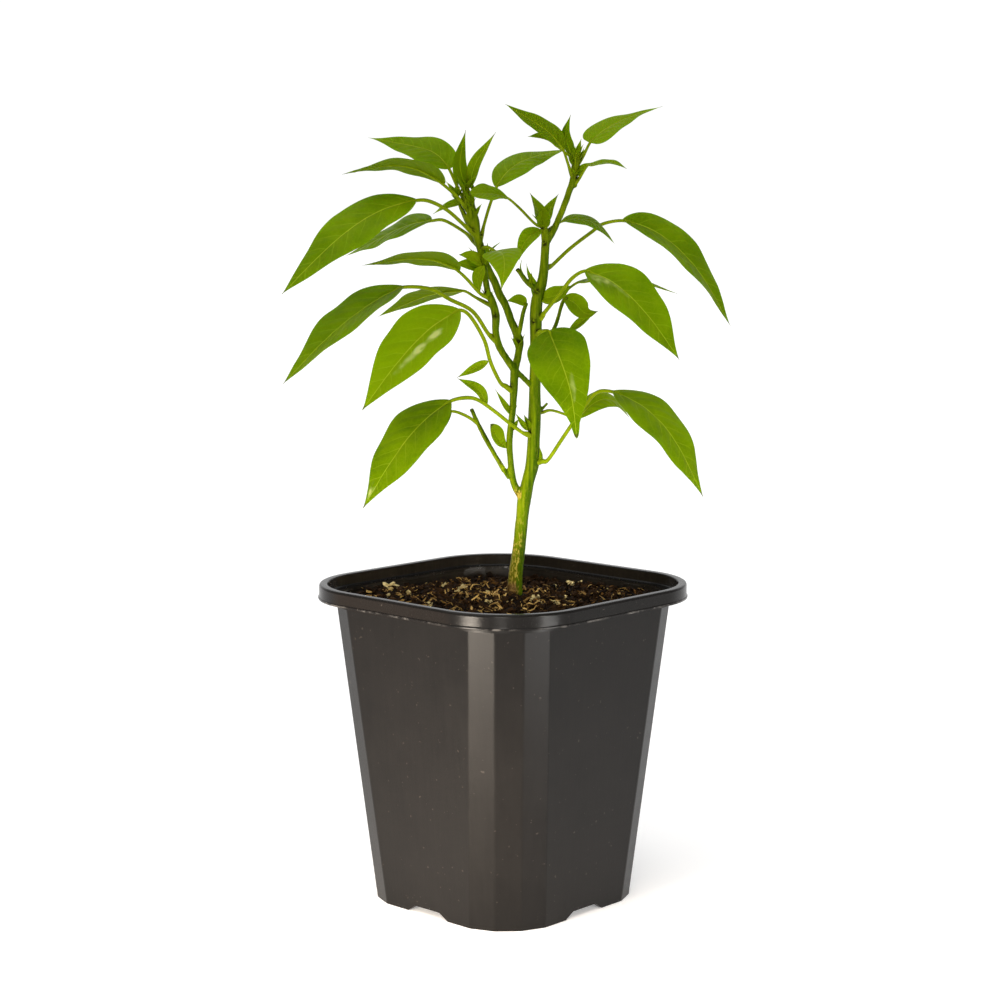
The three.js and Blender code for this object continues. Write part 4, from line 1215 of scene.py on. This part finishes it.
def make_stem_skin():
    material, tree, shader, where = new_material("green_stem", 0.45)
    streaks = step_up(tree, cloud(tree, stretched(tree, where, 700, 700, 45), 1.0, 2.0), 0.3, 0.7)
    patches = step_up(tree, cloud(tree, where, 90.0, 3.0), 0.35, 0.65)
    freckles = step_up(tree, cloud(tree, stretched(tree, where, 1100, 1100, 500), 1.0, 2.0), 0.42, 0.6)
    # Painted light and shade: a lit yellow-green for the left side and the tender shoots, and a shaded
    # darker green for the right side.
    painted_lit_and_tender = mix_colour(tree, streaks, (0.09, 0.145, 0.0005, 1), (0.185, 0.25, 0.0014, 1))
    painted_shade_green = mix_colour(tree, streaks, (0.034, 0.078, 0.0003, 1), (0.085, 0.15, 0.0005, 1))
    facing = calc(tree, "MULTIPLY_ADD", patches, 0.15, read(tree, "painted_lit_and_tender"))
    green = mix_colour(tree, step_up(tree, facing, 0.3, 0.85), painted_shade_green, painted_lit_and_tender)
    tan = mix_colour(tree, freckles, (0.11, 0.085, 0.005, 1), (0.42, 0.33, 0.045, 1))
    corky = step_up(tree, calc(tree, "MULTIPLY_ADD", freckles, 0.35, read(tree, "cork")), 0.25, 0.85)
    skin = mix_colour(tree, corky, green, tan)
    brown = mix_colour(tree, freckles, (0.07, 0.035, 0.01, 1), (0.28, 0.17, 0.05, 1))
    skin = mix_colour(tree, step_up(tree, read(tree, "foot"), 0.2, 0.8), skin, brown)
    use_bump(tree, shader, calc(tree, "MULTIPLY_ADD", freckles, 0.4, streaks), 0.4, 0.00012)
    fill(tree, shader, {"Base Color": with_scars(tree, where, skin), "Specular IOR Level": 0.05,
                        "Specular Tint": (0.9, 1, 0.3, 1)})
    return material


stem_skin = make_stem_skin()
stem.data.materials.append(stem_skin)
finish_piece(stem, "stem", "stem")

# %% [markdown]
# ## The leaves
#
# A chilli leaf is a thin pointed blade on a slender stalk. Its midrib is a groove above and a ridge
# below, its side veins arch towards the tip, and the skin between them swells like small pillows. Each
# blade starts as a flat grid. The grid is bent along the midrib's line, narrowed to the outline, and the
# veins are pressed into it. The Solidify modifier then gives it its thickness.

# %% The frame along a midrib
OUTLINE_SUM = 2.1
WIDEST_AT = 0.38
TIP_BLUNT = 0.08
BLADE_ARCH = 0.15
BLADE_WAVE = 0.7
BLADE_WAVES = 2.5


def outline(share, widest, blunt):
    """Half the width from the base, 0, to the tip, 1, as a share of the greatest, which is at widest."""
    base, tip = OUTLINE_SUM * widest, OUTLINE_SUM * (1 - widest)
    half = max(0, share) ** base * max(0, 1 - share) ** tip / (widest ** base * (1 - widest) ** tip)
    return half if share < widest else max(half, blunt * math.sqrt(max(0, 1 - share)))


RIB_STEPS = 60
RIB_SMOOTHING = 70


def even_line(line):
    """Places at even steps of length along a line, and its length."""
    lengths = [0.0]
    for a, b in zip(line, line[1:]):
        lengths.append(lengths[-1] + (b - a).length)
    places, i = [], 0
    for k in range(RIB_STEPS + 1):
        want = lengths[-1] * k / RIB_STEPS
        while i < len(lengths) - 2 and lengths[i + 1] < want:
            i += 1
        places.append(line[i].lerp(line[i + 1], (want - lengths[i]) / (lengths[i + 1] - lengths[i])))
    return places, lengths[-1]


class Midrib:
    """The line of a midrib, by length, with the directions across the blade and out of its face."""

    def __init__(self, places, tilt):
        line, self.length = even_line([place for place, share in smooth_line(places)])
        for i in range(RIB_SMOOTHING):
            inner = [(a + 2 * b + c) / 4 for a, b, c in zip(line, line[1:], line[2:])]
            line = [line[0]] + inner + [line[-1]]
        self.line = line
        reach = places[-1] - places[0]
        self.level = reach.cross(Vector((0, 0, 1))).normalized()
        leftward = (FRONT.transposed() @ reach).x < 0
        self.lean = math.radians(tilt if leftward else -tilt)

    def at(self, share):
        """The place at a share of the length, with the directions along, across and out of the blade."""
        i = min(int(share * RIB_STEPS), RIB_STEPS - 1)
        place = self.line[i].lerp(self.line[i + 1], share * RIB_STEPS - i)
        low, high = max(0, i - 1), min(RIB_STEPS, i + 2)
        along = (self.line[high] - self.line[low]).normalized()
        flat = (self.level - along * self.level.dot(along)).normalized()
        up = flat.cross(along)
        side = flat * math.cos(self.lean) + up * math.sin(self.lean)
        face = up * math.cos(self.lean) - flat * math.sin(self.lean)
        return place, along, side, face


# %% Bending a grid into a blade
VEIN_SLANT = 0.75
VEIN_BEND = 0.035
VEIN_SPACING = 0.115
GROOVE = 0.35
PILLOW = 0.2
BLADE_THICKNESS = 0.4
EDGE_THINNESS = 0.4
WIDEST_HALF = 14
LEAST_HALF = 0.12
EDGE_RAG = 0.04
GROOVE_HALF = 0.8
PILLOW_FROM = 2.5
BLADE_CREASE = 60


def vein_phase(across, along, spacing):
    """Counts the side veins from base to tip. It is a whole number on each of them."""
    distance = abs(across)
    right = 0.5 if across > 0 else 0
    return (along - VEIN_SLANT * distance - VEIN_BEND * distance ** 2) / spacing + right


def blade_sheet(places, half, tilt, fold, grid, wave, seed, tone, widest=WIDEST_AT, blunt=TIP_BLUNT,
                patches=()):
    """A leaf blade along a line, with its veins pressed in. It carries what its material reads."""
    rows, columns = grid
    rib = Midrib(places, tilt)
    length = rib.length / MM
    spacing = VEIN_SPACING * length
    rise = math.radians(fold)
    sheet = started(bpy.ops.mesh.primitive_grid_add, x_subdivisions=columns, y_subdivisions=rows, size=2)
    frames = [rib.at(i / rows) for i in range(rows + 1)]
    thickness = sheet.vertex_groups.new(name="thickness")
    measures, tones, painted_highlights = [], [], []
    for corner in sheet.data.vertices:
        s, share = corner.co.x, (corner.co.y + 1) / 2
        place, along, side, face = frames[round(share * rows)]
        rag = 1 + EDGE_RAG * noise.noise(Vector((seed, share * 6, math.copysign(3, s))))
        width = max(half * outline(share, widest, blunt) * rag, LEAST_HALF)
        across = s * width
        crease = math.sqrt(s * s + 0.01) - 0.1
        lift = width * (crease * math.sin(rise) - BLADE_ARCH * s * s)
        waving = math.sin(2 * math.pi * BLADE_WAVES * share + s + seed)
        lift += wave * (half / WIDEST_HALF) ** 1.5 * s * s * math.sin(math.pi * share) * waving
        fade = min(1, abs(across) / PILLOW_FROM) * (1 - s * s)
        lift -= fade * PILLOW * math.cos(2 * math.pi * vein_phase(across, share * length, spacing))
        lift -= GROOVE * (1 - share) * math.exp(-((across / GROOVE_HALF) ** 2)) * min(1, width / 3)
        lift += 0.25 * width / WIDEST_HALF * noise.noise(Vector((across / 5, share * length / 7, seed)))
        corner.co = place + side * across * math.cos(rise) * MM + face * lift * MM
        measures.append((across, share * length, spacing))
        tones.append((tone, 0.0, share))
        # Painted highlight: the pale patches listed for this leaf, laid into its colour.
        painted_highlight = sum(strength * math.exp(-(((share - at) / long) ** 2) - ((s - aside) / wide) ** 2)
                    for at, aside, long, wide, strength in patches)
        painted_highlights.append(min(1, painted_highlight * (1 + 0.9 * noise.noise(Vector((across / 2, share * length / 3, 9))))))
        thin = (1 - (1 - EDGE_THINNESS) * s ** 4) * min(1, width / 2.5 + 0.15)
        thickness.add([corner.index], thin, "REPLACE")
    apply_modifier(sheet, "SOLIDIFY", thickness=BLADE_THICKNESS * MM, offset=-1, vertex_group="thickness")
    sheet.vertex_groups.clear()
    top = len(measures)
    under = len(sheet.data.vertices) - top
    measures += measures[:under]
    tones += [(tone, 1.0, share) for tone, side, share in tones[:under]]
    paint(sheet, "painted_highlight", painted_highlights + [0.0] * under)
    for name, values in (("measure", measures), ("tone", tones)):
        paint(sheet, name, [c for value in values for c in value], "FLOAT_VECTOR")
    shade_by_angle(BLADE_CREASE)
    return sheet, rib


# %% Leaf materials
LEAF_ROUGHNESS = 0.42
TIP_BROWN = (0.05, 0.045, 0.01, 1)


def leaf_parts(tree):
    """What the blades carry: distance from the midrib, way along and vein spacing, then the tones."""
    measure = read(tree, "measure", "Vector")
    split = node(tree, "ShaderNodeSeparateXYZ", {0: measure})
    tones = node(tree, "ShaderNodeSeparateXYZ", {0: read(tree, "tone", "Vector")})
    return measure, split.outputs, tones.outputs


def make_leaf_skin(name, dark, light, pale, tip_from):
    """A skin between two greens with pale veins, and brown beyond a share of the leaf's length."""
    material, tree, shader, where = new_material(name, LEAF_ROUGHNESS)
    measure, (across, along, spacing), (tone, under, share) = leaf_parts(tree)
    away = calc(tree, "ABSOLUTE", across)
    wander = times(tree, calc(tree, "SUBTRACT", cloud(tree, where, 120.0, 1.0), 0.5), 3.0)
    bend = times(tree, times(tree, away, away), VEIN_BEND)
    slant = calc(tree, "MULTIPLY_ADD", away, VEIN_SLANT, bend)
    run = calc(tree, "ADD", calc(tree, "SUBTRACT", along, slant), wander)
    right = times(tree, calc(tree, "GREATER_THAN", across, 0.0), 0.5)
    phase = calc(tree, "ADD", calc(tree, "DIVIDE", run, spacing), right)
    off_vein = calc(tree, "PINGPONG", phase, 0.5)
    side_vein = rest(tree, step_up(tree, off_vein, 0.005, 0.06))
    side_vein = times(tree, side_vein, rest(tree, step_up(tree, away, 2.0, 12.0)))
    rib_half = times(tree, spacing, calc(tree, "MULTIPLY_ADD", share, -0.03, 0.05))
    midrib = rest(tree, step_up(tree, calc(tree, "DIVIDE", away, rib_half), 0.4, 1.2))
    net = node(tree, "ShaderNodeTexVoronoi", {"Vector": measure, "Scale": 0.4},
               feature="DISTANCE_TO_EDGE").outputs["Distance"]
    net_line = rest(tree, step_up(tree, net, 0.0, 0.12))
    patches = step_up(tree, cloud(tree, where, 60.0, 3.0), 0.3, 0.7)
    fine = cloud(tree, where, 500.0, 2.0)
    mixed = calc(tree, "MULTIPLY_ADD", fine, 0.2, times(tree, patches, 0.5))
    mixed = calc(tree, "ADD", mixed, tone)
    body = mix_colour(tree, mixed, dark, light)
    body = mix_colour(tree, times(tree, net_line, 0.06), body, pale)
    body = mix_colour(tree, times(tree, side_vein, 0.24), body, pale)
    body = mix_colour(tree, times(tree, midrib, 0.7), body, pale)
    below = mix_colour(tree, midrib, (0.112, 0.175, 0.001, 1), (0.25, 0.33, 0.005, 1))
    body = mix_colour(tree, under, body, below)
    # Painted highlight: pale patches where the blade would catch the light.
    painted_highlight = step_up(tree, read(tree, "painted_highlight"), 0.1, 0.75)
    body = mix_colour(tree, painted_highlight, body, (0.46, 0.5, 0.15, 1))
    tip = step_up(tree, share, tip_from, 0.5 + tip_from / 2)
    body = mix_colour(tree, times(tree, tip, 0.8), body, TIP_BROWN)
    gloss = calc(tree, "MULTIPLY_ADD", fine, 0.16, LEAF_ROUGHNESS - 0.08)
    relief = calc(tree, "SUBTRACT", times(tree, fine, 0.3), times(tree, net_line, 0.2))
    use_bump(tree, shader, relief, 0.3, 0.00012)
    fill(tree, shader, {
        "Base Color": body, "Roughness": calc(tree, "MULTIPLY_ADD", under, 0.2, gloss),
        "Specular IOR Level": 0.03, "Specular Tint": (0.8, 1, 0.1, 1),
        "Subsurface Weight": 0.2, "Subsurface Radius": (0.001, 0.002, 0.0002), "Subsurface Scale": 1.0})
    return material


leaf_skin = make_leaf_skin(
    "leaf_green", (0.075, 0.14, 0.0005, 1), (0.165, 0.25, 0.001, 1), (0.36, 0.46, 0.02, 1), 0.95)


def make_stalk_skin():
    material, tree, shader, where = new_material("stalk_green", LEAF_ROUGHNESS)
    streaks = cloud(tree, where, 260.0, 2.0)
    green = mix_colour(tree, streaks, (0.12, 0.19, 0.001, 1), (0.29, 0.37, 0.006, 1))
    fill(tree, shader, {"Base Color": with_scars(tree, where, green), "Specular IOR Level": 0.05,
                        "Specular Tint": (0.9, 1, 0.2, 1)})
    return material


stalk_skin = make_stalk_skin()

# %% Leaves on their stalks
STALK_RADIUS = 1.0
LEAF_GRID = (72, 26)
leaf_draw = random.Random(5)
# Where some leaves are widest, and leaves that are lighter than the rest.
WIDEST = {"leaf_crown_right": 0.18, "leaf_top_left_high": 0.3, "leaf_middle_drooping": 0.28,
          "leaf_top_inner": 0.58, "leaf_front": 0.31, "leaf_low_right_back": 0.45}
LIGHT_LEAVES = {"leaf_middle_left_broad": 0.85, "leaf_crown_left_small": 0.35, "leaf_low_right": 0.25,
                "leaf_middle_drooping": 0.8, "leaf_low_right_back": 0.9, "leaf_low_left": 0.1,
                "leaf_top_inner": 0.35, "leaf_middle_curled": 0.4,
                "leaf_upper_left": 0.25, "leaf_middle_left_long": 0.3, "leaf_middle_right": 0.2,
                "leaf_crown_left": 0.5, "leaf_crown_right": 0.6, "leaf_crown_right_small": 0.4,
                "leaf_top_left_high": 0.3, "leaf_top_left_low": 0.3, "leaf_top_middle": 0.2}
BLUNT_TIPS = {"leaf_front": 0.45, "leaf_low_left": 0.2, "leaf_middle_left_broad": 0.2}
# Painted highlights, pale patches where a blade would catch the light: way along the blade, place across
# it, length, width and strength.
PAINTED_HIGHLIGHTS = {
    "leaf_middle_left_broad": [(0.29, -0.36, 0.06, 0.14, 0.9), (0.45, -0.34, 0.07, 0.12, 0.9),
                               (0.6, -0.3, 0.1, 0.2, 0.35)],
    "leaf_front": [(0.62, -0.16, 0.13, 0.16, 0.4)],
    "leaf_middle_right": [(0.13, 0.4, 0.12, 0.3, 0.4), (0.3, 0.1, 0.16, 0.16, 0.3)],
    "leaf_low_left": [(0.87, 0.3, 0.06, 0.4, 0.5)],
}
SWOLLEN_LENGTH = 4.5
STALK_SIDES, STALK_STEP = 12, 4
# Ways along the blade, and the midrib's radius there.
RIB_RADII = [(0.0, 0.85), (0.1, 0.75), (0.3, 0.55), (0.5, 0.4), (0.7, 0.28), (0.88, 0.16)]


def stalk_and_rib(stalk, rib, thick):
    """The stalk, swollen where it joins the stem, and the midrib as it thins out under the blade."""
    under, under_radii = [], []
    for share, radius in RIB_RADII:
        place, along, side, face = rib.at(share)
        sink = thick * radius + (0.25 if share else -0.1)
        under.append(place - face * sink * MM)
        under_radii.append(thick * radius)
    radii = [1.5 * thick] + [0.95 * thick] * (len(stalk) - 1) + under_radii
    if len(stalk) > 1 and (stalk[1] - stalk[0]).length > 1.5 * SWOLLEN_LENGTH * MM:
        swelling = stalk[0] + (stalk[1] - stalk[0]).normalized() * SWOLLEN_LENGTH * MM
        stalk = [stalk[0], swelling] + stalk[1:]
        radii.insert(1, 1.35 * thick)
    made = tube(stalk + under, radii, STALK_SIDES, STALK_STEP)
    paint(made, "scar", [scar_at(corner.co) for corner in made.data.vertices])
    return made


for name, (half, tilt, fold, stalk, blade) in LEAVES.items():
    tone = leaf_draw.uniform(-0.1, 0.3)
    places = [seen(*p) for p in blade]
    seed = leaf_draw.uniform(0, 50)
    tone = LIGHT_LEAVES.get(name, tone)
    sheet, rib = blade_sheet(places, half, tilt, fold, LEAF_GRID, BLADE_WAVE, seed, tone,
                             WIDEST.get(name, WIDEST_AT), BLUNT_TIPS.get(name, TIP_BLUNT),
                             PAINTED_HIGHLIGHTS.get(name, ()))
    sheet.data.materials.append(leaf_skin)
    thick = STALK_RADIUS * (0.45 + half / 26)
    stem_part = stalk_and_rib([seen(*p) for p in stalk], rib, thick)
    stem_part.data.materials.append(stalk_skin)
    pick(stem_part)
    bpy.ops.object.shade_smooth()
    leaf = joined("fine_" + name, [sheet, stem_part])
    finish_piece(leaf, "leaf", name)

# %% [markdown]
# Young leaves crowd the tips of the shoots and the joints. They are the same blade, smaller, lighter and
# with fewer squares.

# %% Young leaves
YOUNG_FOLD = 25
YOUNG_GRID = (30, 10)
YOUNG_WAVE = 0.2
young = []
young_skin = make_leaf_skin(
    "young_leaf_green", (0.1, 0.165, 0.0008, 1), (0.22, 0.3, 0.002, 1), (0.38, 0.46, 0.02, 1), 0.88)
for half, tilt, widest, blade in YOUNG_LEAVES:
    places = [seen(*p) for p in blade]
    seed = leaf_draw.uniform(0, 50)
    tone = leaf_draw.uniform(0, 0.3)
    sheet, rib = blade_sheet(places, half, tilt, YOUNG_FOLD, YOUNG_GRID, YOUNG_WAVE, seed, tone, widest)
    young.append(sheet)

# %% Buds at the joints
# Each joint is (across, up, depth), with how many small leaves rise from it and how long they are.
BUD_JOINTS = [
    (-16.5, 339, 3, 7, 9), (-19, 336.5, 3, 6, 8), (-15, 334, 3, 6, 8), (-16.5, 329, 3, 4, 7),
    (-12, 327, 3, 4, 7), (-7, 304.5, 1, 5, 8), (-7, 299, 0, 3, 6), (-8, 287, -8, 5, 6),
    (20.5, 322, 0, 4, 6), (35.5, 353, 6, 6, 8), (35, 346, 5, 4, 6), (17.5, 288, 0, 4, 7),
    (13, 295, -2, 3, 6), (8, 266, -2, 4, 6), (6, 235, -6, 2, 5), (11, 226.5, -3.5, 5, 7),
]
BUD_GRID = (12, 6)
BUD_FOLD = 30
BUD_WAVE = 0.1
BUD_TONE = 0.6
BUD_WIDEST = 0.32
BUD_HALF = 0.22
BUD_SINK = 0.9
BUD_RING = 0.6


def within_stem(place):
    """The place itself where the stem holds it, or else the nearest one that lies sunk in its skin."""
    found, nearest, normal, face = stem.closest_point_on_mesh(place)
    sunk = nearest - normal * BUD_SINK * MM
    return place if (place - sunk).dot(normal) < 0 else sunk


def add_bud_leaf(start, heading, size, seed):
    """A small leaf that leans out and up from its start, with its size in millimetres."""
    rise = Vector((0, 0, 1))
    places = [start, start + (heading * 0.3 + rise * 0.5) * size * MM,
              start + (heading * leaf_draw.uniform(0.4, 0.8) + rise * 0.9) * size * MM]
    half = size * BUD_HALF
    sheet, rib = blade_sheet(places, half, 0, BUD_FOLD, BUD_GRID, BUD_WAVE, seed, BUD_TONE, BUD_WIDEST)
    young.append(sheet)


for across, up, depth, count, length in BUD_JOINTS:
    joint = within_stem(seen(across, up, depth))
    for i in range(count):
        angle = 2 * math.pi * i / count + leaf_draw.uniform(-0.4, 0.4)
        heading = Vector((math.cos(angle), math.sin(angle), 0))
        add_bud_leaf(joint + heading * BUD_RING * MM, heading, length * leaf_draw.uniform(0.6, 1.15), i)
for line in bundle_lines():
    heading = Vector((line[-1].x - line[0].x, line[-1].y - line[0].y, 0)).normalized()
    add_bud_leaf(line[-1].lerp(line[1], 0.25), heading, leaf_draw.uniform(5, 8.5), 3)
print("young leaves and buds", len(young))
young_leaves = joined("young_leaves", young)
young_leaves.data.materials.append(young_skin)
finish_piece(young_leaves, "leaf", "stem")
